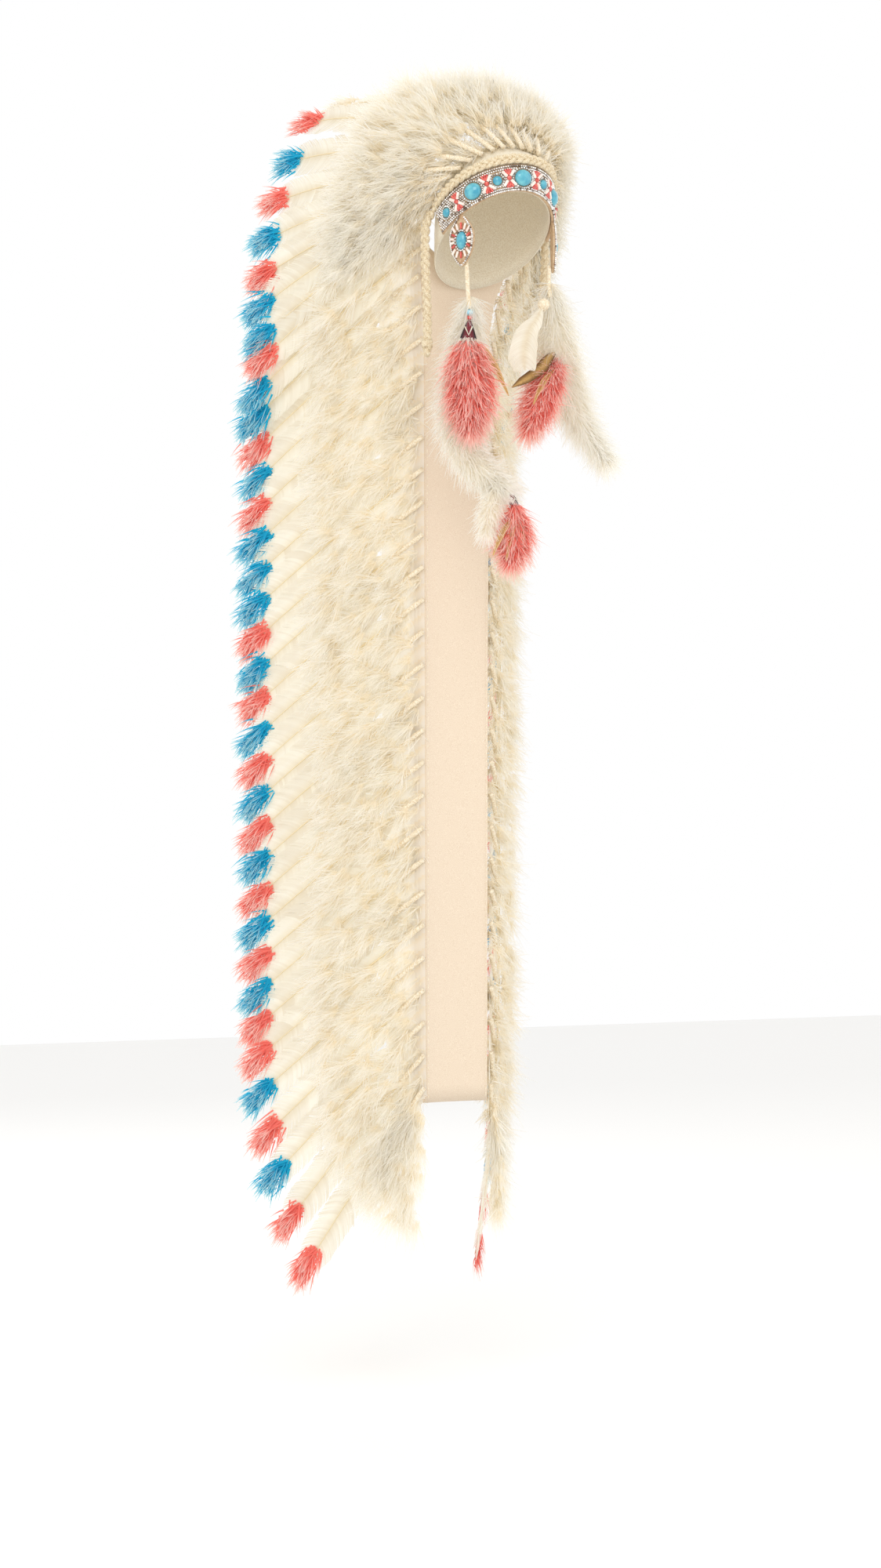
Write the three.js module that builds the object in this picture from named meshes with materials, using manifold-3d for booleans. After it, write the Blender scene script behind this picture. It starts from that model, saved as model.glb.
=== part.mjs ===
// A full-length feathered bonnet with a beaded brow band and a long double trailer.
// Units are millimetres and +Z is up. The wearer faces -Y, and the wearer's right is -X.
// The origin is the middle of the head opening, at the brow band's mid height.
// Side pieces are worked out for the wearer's right and mirrored for the left.

import * as THREE from 'three';
import { mergeVertices } from 'three/addons/utils/BufferGeometryUtils.js';
import Module from 'manifold-3d';

const wasm = await Module();
wasm.setup();

// Driving dimensions
const GAP = 0.3;
const ROOM = 0.5;
const CAP = { halfWidth: 77.7, halfDepth: 84.7, top: 106, felt: 2.2, columns: 24, roundness: 0.7 };
const BAND = { height: 36, leather: 3, ease: 1.1, tilt: 32, endAngle: 90, columns: 24 };
const BRAID = { width: 13, thickness: 9, lobes: 14, pulse: 0.13 };
const BRAID_TAIL = { diameter: 15.5, steps: 10 };
const QUILL = 7.5;
const FEATHER = { length: 335, droop: 12, twist: 7 };
const CROWN = { feathers: 11, firstAngle: 5.5, angleStep: 11, seatRise: 20.3, seatOut: 6, downEnd: 87 };
const BACKING = { width: 9, thickness: 2.6 };
const TRAILER = { yoke: [-22, -56, -96], more: 24, step: 45, downTop: -60 };
const CLOTH = { thickness: 1.6, wing: 22 };
const ROW_BACKING = { width: 12, thickness: 1.5, ease: 0.6 };
const FLAP = { angle: 65, width: 45, height: 70, leather: 2.5, drop: 0.5 };
const FLAP_STONE = { width: 18, height: 25, rise: 6 };
const BEAD = { diameter: 4.4, sides: 10, reach: 12, lean: 40, centre: 9, centreHeight: 5.6 };
const SIDES = [
  { name: 'right', sign: -1, sweep: 0 },
  { name: 'left', sign: 1, sweep: 13 },
];

// A feather's sections from the wrapped quill over the vane to the soft tuft at the tip
const FEATHER_SECTIONS = [
  { along: 0, width: QUILL, thickness: QUILL },
  { along: 52, width: QUILL, thickness: QUILL },
  { along: 100, width: 36, thickness: 2.6 },
  { along: 245, width: 46, thickness: 2.4 },
  { along: 305, width: 13, thickness: 3.6 },
  { along: 335, width: 32, thickness: 13 },
  { along: 368, width: 0, thickness: 0 },
];

// The crown's fan: fold is the turn from the side towards the back, climb the rise of the chord
const CROWN_FAN = [
  { at: 0, fold: 90, climb: 17.5, bow: 38 },
  { at: 5.5, fold: 87, climb: 17.5, bow: 38 },
  { at: 27.5, fold: 74, climb: 16.5, bow: 38 },
  { at: 38.5, fold: 67, climb: 13, bow: 37 },
  { at: 60.5, fold: 64.5, climb: -3, bow: 30 },
  { at: 82.5, fold: 62, climb: -18, bow: 22 },
  { at: 104.5, fold: 57, climb: -31, bow: 17 },
  { at: 115.5, fold: 54, climb: -35, bow: 16 },
  { at: 140, fold: 53, climb: -37, bow: 16 },
];

// The trailer's fan, by height
const TRAILER_FAN = [
  { at: -8, fold: 54, climb: -36, bow: 16 },
  { at: -300, fold: 51, climb: -36, bow: 15 },
  { at: -980, fold: 51, climb: -37, bow: 14 },
  { at: -1080, fold: 52, climb: -43, bow: 12 },
  { at: -1167, fold: 56, climb: -52, bow: 8 },
  { at: -1178, fold: 57, climb: -54, bow: 7 },
  { at: -1194, fold: 62, climb: -87, bow: 3 },
];

// The line that the trailer's quills are sewn along, by height
const FOLD_LINE = [
  { at: -6, x: -72.2, y: 57 },
  { at: -8, x: -72, y: 58 },
  { at: -42, x: -66, y: 80 },
  { at: -87, x: -54, y: 98 },
  { at: -132, x: -49, y: 103 },
  { at: -600, x: -47, y: 104 },
  { at: -1200, x: -46, y: 104 },
];

// The middle of the trailer's cloth: height at the fold line and in the middle, and the depth there
const CLOTH_ROWS = [
  { fold: -6, middle: -44, y: 86.3 },
  { fold: -42, middle: -68, y: 87 },
  { fold: -87, middle: -98, y: 94 },
  { fold: -132, middle: -136, y: 101 },
  { fold: -300, middle: -300, y: 112 },
  { fold: -450, middle: -450, y: 109 },
  { fold: -600, middle: -600, y: 112 },
  { fold: -800, middle: -800, y: 109 },
  { fold: -980, middle: -980, y: 112 },
  { fold: -1080, middle: -1080, y: 110 },
  { fold: -1167, middle: -1167, y: 111 },
  { fold: -1200, middle: -1200, y: 111 },
];

const YOKE_ROWS = 4;

// The down over the quills, in the plane of one feather: along it and out from it
const CROWN_DOWN = {
  inner: [[50, 5.4], [62, 6.2], [105, 13], [165, 13]],
  outer: [[178, 20], [140, 42], [72, 34]],
};
const TRAILER_DOWN = {
  inner: [[36, 4.6], [58, 4.8], [115, 8], [190, 7]],
  outer: [[204, 11], [150, 28], [62, 21]],
};

// Turquoise cabochons on the band: angle from the front towards the wearer's right
const CABOCHONS = [
  { angle: 77, width: 15.5, height: 15.5, rise: 5 },
  { angle: 48, width: 27, height: 25, rise: 7.5 },
  { angle: 25, width: 15.5, height: 15.5, rise: 5 },
  { angle: 0, width: 27, height: 25, rise: 7.5 },
  { angle: -25, width: 15.5, height: 15.5, rise: 5 },
  { angle: -48, width: 27, height: 25, rise: 7.5 },
  { angle: -77, width: 15.5, height: 15.5, rise: 5 },
];
const STAR_ANGLES = [63.5, 34.5, 14.2, -14.2, -34.5, -63.5];

// Materials
function finish(color, roughness, metalness = 0) {
  return new THREE.MeshStandardMaterial({ color, roughness, metalness });
}
const MATERIALS = {
  feather: finish(0xece4cf, 0.75),
  down: finish(0xf4efe2, 0.95),
  felt: finish(0xe9dfc8, 0.95),
  leather: finish(0xcdaf8c, 0.7),
  braid: finish(0xefe6cf, 0.9),
  cloth: finish(0xe8d7be, 0.9),
  turquoise: finish(0x50b4cd, 0.25),
  tubeBead: finish(0xf6dfd2, 0.35),
  blueBead: finish(0x8cc7de, 0.3),
  coralBead: finish(0xe0784f, 0.4),
  coralFluff: finish(0xeb6e69, 0.9),
  maroon: finish(0x6e0f1e, 0.6),
  fur: finish(0xf3eee2, 0.95),
  striped: finish(0x8f6a34, 0.7),
};

// Small helpers
const rad = THREE.MathUtils.degToRad;
const SLOPE = Math.tan(rad(BAND.tilt));
const RING = {
  a: CAP.halfWidth + BAND.ease + BAND.leather,
  b: CAP.halfDepth + BAND.ease + BAND.leather,
};
const AS_DRAWN = { sign: -1 };
const UP = new THREE.Vector3(0, 0, 1);
const vec = (x, y, z) => new THREE.Vector3(x, y, z);
const mix = (a, b, t) => a + (b - a) * t;

function tableValue(table, at, column) {
  const rising = table[1].at > table[0].at;
  const passed = (row) => (rising ? row.at >= at : row.at <= at);
  const next = table.findIndex(passed);
  if (next === 0) return table[0][column];
  if (next < 0) return table[table.length - 1][column];
  const a = table[next - 1];
  const b = table[next];
  return mix(a[column], b[column], (at - a.at) / (b.at - a.at));
}

function mirrored(point, side) {
  return vec(-side.sign * point.x, point.y, point.z);
}

// Closed bodies from points and triangles, turned so that their faces point out
function body(points, faces) {
  const raw = new THREE.BufferGeometry();
  raw.setAttribute('position', new THREE.Float32BufferAttribute(points.flatMap((p) => [p.x, p.y, p.z]), 3));
  raw.setIndex(faces.flat());
  const merged = mergeVertices(raw, 1e-3);
  const index = merged.index.array;
  const kept = [];
  for (let i = 0; i < index.length; i += 3) {
    const [a, b, c] = [index[i], index[i + 1], index[i + 2]];
    if (a !== b && b !== c && c !== a) kept.push([a, b, c]);
  }
  const at = (i) => new THREE.Vector3().fromBufferAttribute(merged.attributes.position, i);
  const volume = kept.reduce((sum, [a, b, c]) => sum + at(a).dot(at(b).cross(at(c))), 0);
  merged.setIndex((volume < 0 ? kept.map(([a, b, c]) => [a, c, b]) : kept).flat());
  return merged;
}

// A skin over rings of equal count, closed by a fan at each end; a ring of one point is a tip
function loft(rings) {
  const points = rings.flat();
  const starts = [];
  rings.reduce((start, ring) => (starts.push(start), start + ring.length), 0);
  const faces = [];
  for (let i = 0; i + 1 < rings.length; i++) {
    const count = Math.max(rings[i].length, rings[i + 1].length);
    for (let k = 0; k < count; k++) {
      const low = [k, k + 1].map((n) => starts[i] + (n % rings[i].length));
      const high = [k, k + 1].map((n) => starts[i + 1] + (n % rings[i + 1].length));
      if (low[0] !== low[1]) faces.push([low[0], low[1], high[1]]);
      if (high[0] !== high[1]) faces.push([low[0], high[1], high[0]]);
    }
  }
  const first = starts[0];
  const last = starts[starts.length - 1];
  for (let k = 1; k + 1 < rings[0].length; k++) faces.push([first, first + k + 1, first + k]);
  for (let k = 1; k + 1 < rings[rings.length - 1].length; k++) faces.push([last, last + k, last + k + 1]);
  return body(points, faces);
}

// A wall between two grids of points, joined round their edges
function wall(outer, inner, round = false) {
  const rows = outer.length;
  const columns = outer[0].length;
  const points = [...outer.flat(), ...inner.flat()];
  const at = (layer, row, column) => layer * rows * columns + row * columns + (column % columns);
  const faces = [];
  const quad = (a, b, c, d) => faces.push([a, b, c], [a, c, d]);
  const spans = round ? columns : columns - 1;
  for (let i = 0; i + 1 < rows; i++) {
    for (let k = 0; k < spans; k++) {
      quad(at(0, i, k), at(0, i, k + 1), at(0, i + 1, k + 1), at(0, i + 1, k));
      quad(at(1, i, k), at(1, i + 1, k), at(1, i + 1, k + 1), at(1, i, k + 1));
    }
    if (!round) {
      quad(at(0, i, 0), at(0, i + 1, 0), at(1, i + 1, 0), at(1, i, 0));
      quad(at(0, i, spans), at(1, i, spans), at(1, i + 1, spans), at(0, i + 1, spans));
    }
  }
  for (let k = 0; k < spans; k++) {
    quad(at(0, 0, k), at(1, 0, k), at(1, 0, k + 1), at(0, 0, k + 1));
    quad(at(0, rows - 1, k), at(0, rows - 1, k + 1), at(1, rows - 1, k + 1), at(1, rows - 1, k));
  }
  return body(points, faces);
}

// Joining and cutting
function solid(geometry) {
  let plain = geometry.clone();
  plain.deleteAttribute('normal');
  plain.deleteAttribute('uv');
  plain = mergeVertices(plain, 1e-4);
  return new wasm.Manifold(new wasm.Mesh({
    numProp: 3,
    vertProperties: new Float32Array(plain.attributes.position.array),
    triVerts: new Uint32Array(plain.index.array),
  }));
}

function fused(geometries) {
  return geometries.map(solid).reduce((whole, piece) => whole.add(piece));
}

function cutBy(whole, cutters) {
  const rest = cutters.reduce((left, cutter) => left.subtract(cutter), whole);
  return rest.decompose().sort((a, b) => b.volume() - a.volume())[0];
}

function geometryOf(manifold) {
  const data = manifold.simplify(0.03).getMesh();
  const geometry = new THREE.BufferGeometry();
  geometry.setAttribute('position', new THREE.Float32BufferAttribute(data.vertProperties, 3));
  geometry.setIndex(Array.from(data.triVerts));
  return geometry;
}

const headdress = new THREE.Group();

function addNode(name, geometry, material) {
  geometry.computeVertexNormals();
  const mesh = new THREE.Mesh(geometry, material.clone());
  mesh.name = name;
  headdress.add(mesh);
  return mesh;
}

// The wall round the head: angle 0 is the front and 90 the wearer's right
function browPoint(angle, rise, out) {
  const turn = rad(angle);
  const run = Math.hypot(RING.a * Math.cos(turn), RING.b * Math.sin(turn));
  const climb = -SLOPE * RING.b * Math.sin(turn);
  const length = Math.hypot(run, climb);
  const moved = turn - (rise * climb) / length / run;
  const z = SLOPE * RING.b * Math.cos(turn) + (rise * run) / length;
  return vec(-RING.a * Math.sin(moved), -RING.b * Math.cos(moved), z)
    .addScaledVector(browNormal(THREE.MathUtils.radToDeg(moved)), out);
}

function browNormal(angle) {
  const turn = rad(angle);
  return vec(-Math.sin(turn) / RING.a, -Math.cos(turn) / RING.b, 0).normalize();
}

// Axes of a flat piece that lies on the band: x along it, y up it, z out of it
function browFrame(angle, out) {
  const step = 1;
  const along = browPoint(angle + step, 0, out).sub(browPoint(angle - step, 0, out)).normalize();
  const normal = browNormal(angle);
  const up = normal.clone().cross(along).normalize();
  return new THREE.Matrix4().makeBasis(along, up, normal).setPosition(browPoint(angle, 0, out));
}

// The cap: level -1 is its rim, 0 the top of its upright wall and 1 its crown
function capPoint(angle, level, inset) {
  const turn = rad(angle);
  const top = SLOPE * RING.b * Math.cos(turn) + BAND.height / 2;
  const lean = Math.max(level, 0) * Math.PI / 2;
  const reach = Math.cos(lean) ** CAP.roundness;
  const z = level > 0
    ? top + (CAP.top - inset - top) * Math.sin(lean)
    : top + level * BAND.height;
  return vec(
    -(CAP.halfWidth - inset) * Math.sin(turn) * reach,
    -(CAP.halfDepth - inset) * Math.cos(turn) * reach,
    z,
  );
}

function skullCap() {
  const levels = [-1, 0, 0.25, 0.6, 1];
  const grid = (inset) => levels.map((level) => Array.from(
    { length: CAP.columns },
    (_, k) => capPoint((360 * k) / CAP.columns, level, inset),
  ));
  return wall(grid(0), grid(CAP.felt), true);
}

function browBand() {
  const rises = [-BAND.height / 2, BAND.height / 2];
  const grid = (out) => rises.map((rise) => Array.from(
    { length: BAND.columns + 1 },
    (_, k) => browPoint(mix(-BAND.endAngle, BAND.endAngle, k / BAND.columns), rise, out),
  ));
  return wall(grid(0), grid(-BAND.leather));
}

// Where the crown's quills sit on the cap, and the cap's own direction out there
function crownSeat(angle) {
  const top = capPoint(angle, 0, 0).z;
  const turn = rad(angle);
  const run = Math.hypot(RING.a * Math.cos(turn), RING.b * Math.sin(turn));
  const rise = CROWN.seatRise * Math.hypot(1, (SLOPE * RING.b * Math.sin(turn)) / run);
  const level = (Math.asin(rise / (CAP.top - top)) * 2) / Math.PI;
  const step = 0.01;
  const point = capPoint(angle, level, 0);
  const round = capPoint(angle + 1, level, 0).sub(capPoint(angle - 1, level, 0));
  const climb = capPoint(angle, level + step, 0).sub(point).normalize();
  const normal = round.cross(climb).normalize();
  if (normal.dot(browNormal(angle)) < 0) normal.negate();
  return { point, normal, climb };
}

// A feather's own frame: its base, chord, facing and bow
function chord(fold, climb) {
  return vec(
    -Math.cos(rad(fold)) * Math.cos(rad(climb)),
    Math.sin(rad(fold)) * Math.cos(rad(climb)),
    Math.sin(rad(climb)),
  );
}

function crownFrame(angle, side) {
  const seat = crownSeat(angle);
  const sweep = side.sweep * Math.min(angle / 60, 1);
  const fold = tableValue(CROWN_FAN, angle, 'fold') + sweep;
  const direction = chord(fold, tableValue(CROWN_FAN, angle, 'climb'));
  return {
    base: seat.point.clone().addScaledVector(seat.normal, CROWN.seatOut),
    seat,
    direction,
    bow: tableValue(CROWN_FAN, angle, 'bow'),
  };
}

function crownFeatherFrame(angle, side) {
  const frame = crownFrame(angle, side);
  const step = 1.5 * CROWN.angleStep;
  const middle = (f) => f.base.clone().addScaledVector(f.direction, FEATHER.length / 2);
  const across = middle(crownFrame(angle + step, side)).sub(middle(crownFrame(Math.max(angle - step, 0), side)));
  const level = vec(frame.direction.y, -frame.direction.x, 0).normalize().negate();
  const sloped = across.cross(frame.direction).normalize();
  if (sloped.dot(browNormal(angle).add(UP)) < 0) sloped.negate();
  frame.facing = sloped.lerp(level, THREE.MathUtils.smoothstep(angle, 66, 82)).normalize();
  return frame;
}

function foldPoint(height) {
  return vec(tableValue(FOLD_LINE, height, 'x'), tableValue(FOLD_LINE, height, 'y'), height);
}

function foldTurn(height, side) {
  return tableValue(TRAILER_FAN, height, 'fold') + side.sweep;
}

function trailerFeatherFrame(height, side) {
  const fold = foldTurn(height, side);
  const facing = vec(-Math.sin(rad(fold)), -Math.cos(rad(fold)), 0);
  const out = CLOTH.thickness / 2 + ROW_BACKING.ease + ROW_BACKING.thickness + QUILL / 2 - 0.3;
  const direction = chord(fold, tableValue(TRAILER_FAN, height, 'climb'));
  return {
    base: foldPoint(height).addScaledVector(facing, out).addScaledVector(direction, 3),
    direction,
    facing,
    bow: tableValue(TRAILER_FAN, height, 'bow'),
    out,
  };
}

function shaftPoint(frame, along) {
  const part = along / FEATHER.length;
  const sag = Math.max(part - 0.88, 0) / 0.22;
  return frame.base.clone()
    .addScaledVector(frame.direction, along)
    .addScaledVector(frame.facing, 4 * frame.bow * part * (1 - part))
    .addScaledVector(UP, -FEATHER.droop * sag * sag);
}

function feather(frame, side, grow = 0) {
  const twist = rad(FEATHER.twist);
  const across = frame.direction.clone().cross(frame.facing).normalize();
  const wide = across.clone().multiplyScalar(Math.cos(twist)).addScaledVector(frame.facing, Math.sin(twist));
  const thick = frame.facing.clone().multiplyScalar(Math.cos(twist)).addScaledVector(across, -Math.sin(twist));
  const rings = FEATHER_SECTIONS.map(({ along, width, thickness }, row) => {
    const stretch = row === 0 ? -grow : row === FEATHER_SECTIONS.length - 1 ? grow : 0;
    const middle = shaftPoint(frame, along + stretch);
    if (width === 0) return [mirrored(middle, side)];
    const halves = [[wide, width], [thick, thickness], [wide, -width], [thick, -thickness]];
    return halves.map(([axis, size]) => {
      const point = middle.clone().addScaledVector(axis, size / 2 + Math.sign(size) * grow);
      return mirrored(point.setX(Math.min(point.x, -GAP)), side);
    });
  });
  return loft(rings);
}

// A flat strip that a row of quills is sewn to
function backingStrip(stations, size, side) {
  return loft(stations.map(({ middle, along, normal }) => [[-1, -1], [1, -1], [1, 1], [-1, 1]]
    .map(([a, n]) => mirrored(
      middle.clone()
        .addScaledVector(along, (a * size.width) / 2)
        .addScaledVector(normal, (n * size.thickness) / 2),
      side,
    ))));
}

const crownAngles = Array.from({ length: CROWN.feathers }, (_, i) => CROWN.firstAngle + i * CROWN.angleStep);
const trailerHeights = [
  ...TRAILER.yoke,
  ...Array.from({ length: TRAILER.more }, (_, j) => TRAILER.yoke[2] - (j + 1) * TRAILER.step),
];
const trailerEnd = trailerHeights[trailerHeights.length - 1];

function crownBacking(side) {
  const first = 3;
  const last = crownAngles[crownAngles.length - 1] + 3;
  const count = 13;
  const stations = Array.from({ length: count }, (_, k) => {
    const seat = crownSeat(mix(first, last, k / (count - 1)));
    const middle = seat.point.clone()
      .addScaledVector(seat.normal, GAP + 0.2 + BACKING.thickness / 2)
      .addScaledVector(seat.climb, BACKING.width / 2 - 1);
    return { middle, along: seat.climb, normal: seat.normal };
  });
  return backingStrip(stations, BACKING, side);
}

function trailerBacking(side) {
  const ends = [trailerHeights[0] + 6, trailerEnd - 5];
  const knots = FOLD_LINE.map((row) => row.at).filter((at) => at < ends[0] && at > ends[1]);
  const heights = [...ends, ...trailerHeights.slice(1, -1), ...knots].sort((p, q) => q - p);
  const stations = heights.map((height) => {
    const frame = trailerFeatherFrame(height, side);
    const along = vec(-Math.cos(rad(foldTurn(height, side))), Math.sin(rad(foldTurn(height, side))), 0);
    const middle = foldPoint(height)
      .addScaledVector(frame.facing, CLOTH.thickness / 2 + ROW_BACKING.ease + ROW_BACKING.thickness / 2)
      .addScaledVector(along, ROW_BACKING.width / 2 + 1);
    return { middle, along, normal: frame.facing };
  });
  return backingStrip(stations, ROW_BACKING, side);
}

// Down: a soft roll in lobes, one lobe over each feather, seated on the quills
function downRoll(frames, section, bulges, side) {
  const rings = frames.map((frame, k) => {
    const ring = [];
    section.inner.forEach(([along, out]) => ring.push(shaftPoint(frame, along).addScaledVector(frame.facing, out)));
    section.outer.forEach(([along, out], n) => {
      const swell = bulges[k] * (1 + 0.08 * Math.sin(2.4 * k + 1.7 * n));
      ring.push(shaftPoint(frame, along * (1 + 0.03 * Math.sin(1.9 * k + n)))
        .addScaledVector(frame.facing, Math.max(out * swell, 8)));
    });
    return ring.map((point) => mirrored(vec(Math.min(point.x, -GAP), point.y, point.z), side));
  });
  return loft(rings);
}

function crownDown(side) {
  const count = 16;
  const angles = Array.from({ length: count }, (_, k) => mix(0.8, CROWN.downEnd, k / (count - 1)));
  const bulges = angles.map((angle, k) => mix(1, 0.5, Math.min(angle / 100, 1)) * (k % 2 ? 1.08 : 0.8));
  return downRoll(angles.map((angle) => crownFeatherFrame(angle, side)), CROWN_DOWN, bulges, side);
}

function trailerDown(side) {
  const count = 27;
  const heights = Array.from({ length: count }, (_, k) => mix(
    TRAILER.downTop, trailerEnd - 3, k / (count - 1),
  ));
  // Below the last quill the down fans out to the hem
  heights.push(...[6, 9, 12, 15, 18].map((fall) => trailerEnd - fall));
  const bulges = heights.map((height, k) => (k % 2 ? 0.78 : 1.08));
  return downRoll(heights.map((height) => trailerFeatherFrame(height, side)), TRAILER_DOWN, bulges, side);
}

// The trailer's cloth, with each edge folded back along the quills
function trailerCloth(rows) {
  const spread = [0, 0.33, 0.66, 1];
  const half = (row, side, offset) => {
    const fold = foldPoint(row.fold);
    const points = spread.map((u) => vec(
      fold.x * Math.sin((u * Math.PI) / 2),
      fold.y + (row.y - fold.y) * Math.cos((u * Math.PI) / 2),
      mix(row.middle, row.fold, u),
    ));
    const turn = rad(foldTurn(row.fold, side));
    points.push(fold.clone().add(vec(-Math.cos(turn), Math.sin(turn), 0).multiplyScalar(CLOTH.wing)));
    return points.map((point, k) => {
      const before = points[Math.max(k - 1, 0)];
      const after = points[Math.min(k + 1, points.length - 1)];
      const run = k === 0 ? vec(-1, 0, 0) : after.clone().sub(before).setZ(0).normalize();
      const normal = vec(-run.y, run.x, 0);
      return mirrored(point.clone().addScaledVector(normal, offset), side);
    });
  };
  const grid = (offset) => rows.map((row) => [
    ...half(row, SIDES[0], offset).slice(1).reverse(),
    ...half(row, SIDES[1], offset),
  ]);
  return wall(grid(-CLOTH.thickness / 2), grid(CLOTH.thickness / 2));
}

// The braid along the band's upper edge, in one soft bundle with a swell at each crossing
function browBraid() {
  const steps = 2 * BRAID.lobes;
  const rings = Array.from({ length: steps + 1 }, (_, k) => {
    const angle = mix(-BAND.endAngle, BAND.endAngle, k / steps);
    const swell = 1 + (k % 2 ? BRAID.pulse : -BRAID.pulse);
    const middle = browPoint(angle, BAND.height / 2 + GAP + BRAID.width * 0.57, BRAID.thickness * 0.12);
    const frame = browFrame(angle, 0);
    const up = vec(0, 0, 0).setFromMatrixColumn(frame, 1);
    const out = vec(0, 0, 0).setFromMatrixColumn(frame, 2);
    return Array.from({ length: 6 }, (_, n) => {
      const turn = (n * Math.PI) / 3;
      return middle.clone()
        .addScaledVector(up, (BRAID.width / 2) * swell * Math.cos(turn))
        .addScaledVector(out, (BRAID.thickness / 2) * swell * Math.sin(turn));
    });
  });
  return loft(rings);
}

// The braid's free ends, by hand: behind the ear and down to the shoulder
const BRAID_TAIL_ROUTE = [
  { x: -83.2, y: 17.2, z: 18.6 },
  { x: -88.3, y: 19.6, z: 8 },
  { x: -91.8, y: 20.4, z: -6 },
  { x: -92.6, y: 19.6, z: -40 },
  { x: -90, y: 21, z: -85 },
  { x: -88, y: 22, z: -130 },
  { x: -89, y: 21, z: -176 },
];

function route(points, side) {
  return new THREE.CatmullRomCurve3(points.map(({ x, y, z }) => mirrored(vec(x, y, z), side)));
}

function tube(points, side, diameter, steps, sides = 8) {
  const section = new THREE.Shape();
  for (let k = 0; k < sides; k++) {
    const turn = (2 * Math.PI * k) / sides;
    const [x, y] = [(diameter / 2) * Math.cos(turn), (diameter / 2) * Math.sin(turn)];
    if (k === 0) section.moveTo(x, y);
    else section.lineTo(x, y);
  }
  return new THREE.ExtrudeGeometry(section, { steps, extrudePath: route(points, side) });
}

// Band stones and beads
function cabochon(width, height, rise) {
  const profile = [[0, 0], [0.5, 0], [0.46, 0.45], [0.3, 0.86], [0, 1]]
    .map(([r, z]) => new THREE.Vector2(r, z));
  return new THREE.LatheGeometry(profile, 12).rotateX(Math.PI / 2).scale(width, height, rise);
}

function beadTube(length) {
  return new THREE.CylinderGeometry(BEAD.diameter / 2, BEAD.diameter / 2, length, BEAD.sides);
}

function beadStar() {
  const crossing = [BEAD.lean, -BEAD.lean].map((turn) => beadTube(2 * BEAD.reach).rotateZ(rad(turn)));
  const centre = new THREE.CylinderGeometry(BEAD.centre / 2, BEAD.centre / 2, BEAD.centreHeight, BEAD.sides)
    .rotateX(Math.PI / 2);
  return geometryOf(fused([...crossing, centre]));
}

// Ear flaps: a pointed leather leaf that hangs from the band's lower edge
function leafShape(width, height) {
  const shape = new THREE.Shape();
  shape.moveTo(0, height / 2);
  shape.quadraticCurveTo(width * 0.62, height * 0.18, width * 0.48, -height * 0.02);
  shape.quadraticCurveTo(width * 0.42, -height * 0.26, 0, -height / 2);
  shape.quadraticCurveTo(-width * 0.42, -height * 0.26, -width * 0.48, -height * 0.02);
  shape.quadraticCurveTo(-width * 0.62, height * 0.18, 0, height / 2);
  return shape;
}

function flapMatrix(side, out) {
  const top = browPoint(FLAP.angle, -BAND.height / 2, 0);
  const normal = browNormal(FLAP.angle);
  const along = normal.clone().cross(UP).negate().normalize();
  const middle = top.addScaledVector(normal, out).addScaledVector(UP, -FLAP.drop - FLAP.height / 2);
  return new THREE.Matrix4().makeScale(-side.sign, 1, 1)
    .multiply(new THREE.Matrix4().makeBasis(along, UP, normal).setPosition(middle));
}

function placed(geometry, matrix) {
  const plain = geometry.clone().applyMatrix4(matrix);
  plain.deleteAttribute('normal');
  plain.deleteAttribute('uv');
  const merged = mergeVertices(plain, 1e-4);
  const position = merged.attributes.position;
  const points = Array.from({ length: position.count }, (_, i) => vec(0, 0, 0).fromBufferAttribute(position, i));
  const index = Array.from(merged.index.array);
  const faces = Array.from({ length: index.length / 3 }, (_, i) => index.slice(3 * i, 3 * i + 3));
  return body(points, faces);
}

function earFlap(side) {
  const leaf = new THREE.ExtrudeGeometry(leafShape(FLAP.width, FLAP.height), {
    depth: FLAP.leather, bevelEnabled: false, curveSegments: 4,
  });
  return placed(leaf, flapMatrix(side, -FLAP.leather));
}

function flapBeads(side) {
  const field = leafShape(FLAP.width - 5, FLAP.height - 9);
  const hole = new THREE.Path();
  hole.absellipse(0, 0, FLAP_STONE.width / 2 + 1, FLAP_STONE.height / 2 + 1, 0, 2 * Math.PI);
  field.holes.push(hole);
  const relief = new THREE.ExtrudeGeometry(field, { depth: 3.5, bevelEnabled: false, curveSegments: 6 });
  return placed(relief, flapMatrix(side, GAP));
}

// Soft hanging pieces: lofts along a line, with the width across the view and the depth of each section
const ACROSS = vec(0.891, -0.454, 0);

function softDrop(rows, { sides = 8, lobes = 0, grow = 0 } = {}) {
  const middles = rows.map((row) => vec(row.x, row.y, row.z));
  return loft(rows.map((row, k) => {
    if (!row.wide) return [middles[k]];
    const after = middles[Math.min(k + 1, rows.length - 1)];
    const along = after.clone().sub(middles[Math.max(k - 1, 0)]).normalize();
    const across = ACROSS.clone().addScaledVector(along, -along.dot(ACROSS)).normalize();
    const deep = along.clone().cross(across).normalize();
    const end = k === 0 ? -grow : k === rows.length - 1 ? grow : 0;
    return Array.from({ length: sides }, (_, n) => {
      const turn = (2 * Math.PI * (n + 0.5)) / sides;
      const lobe = n % 2 ? 1 - lobes : 1;
      return middles[k].clone()
        .addScaledVector(along, end)
        .addScaledVector(across, (row.wide / 2 + grow) * lobe * Math.cos(turn))
        .addScaledVector(deep, (row.deep / 2 + grow) * lobe * Math.sin(turn));
    });
  }));
}

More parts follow.
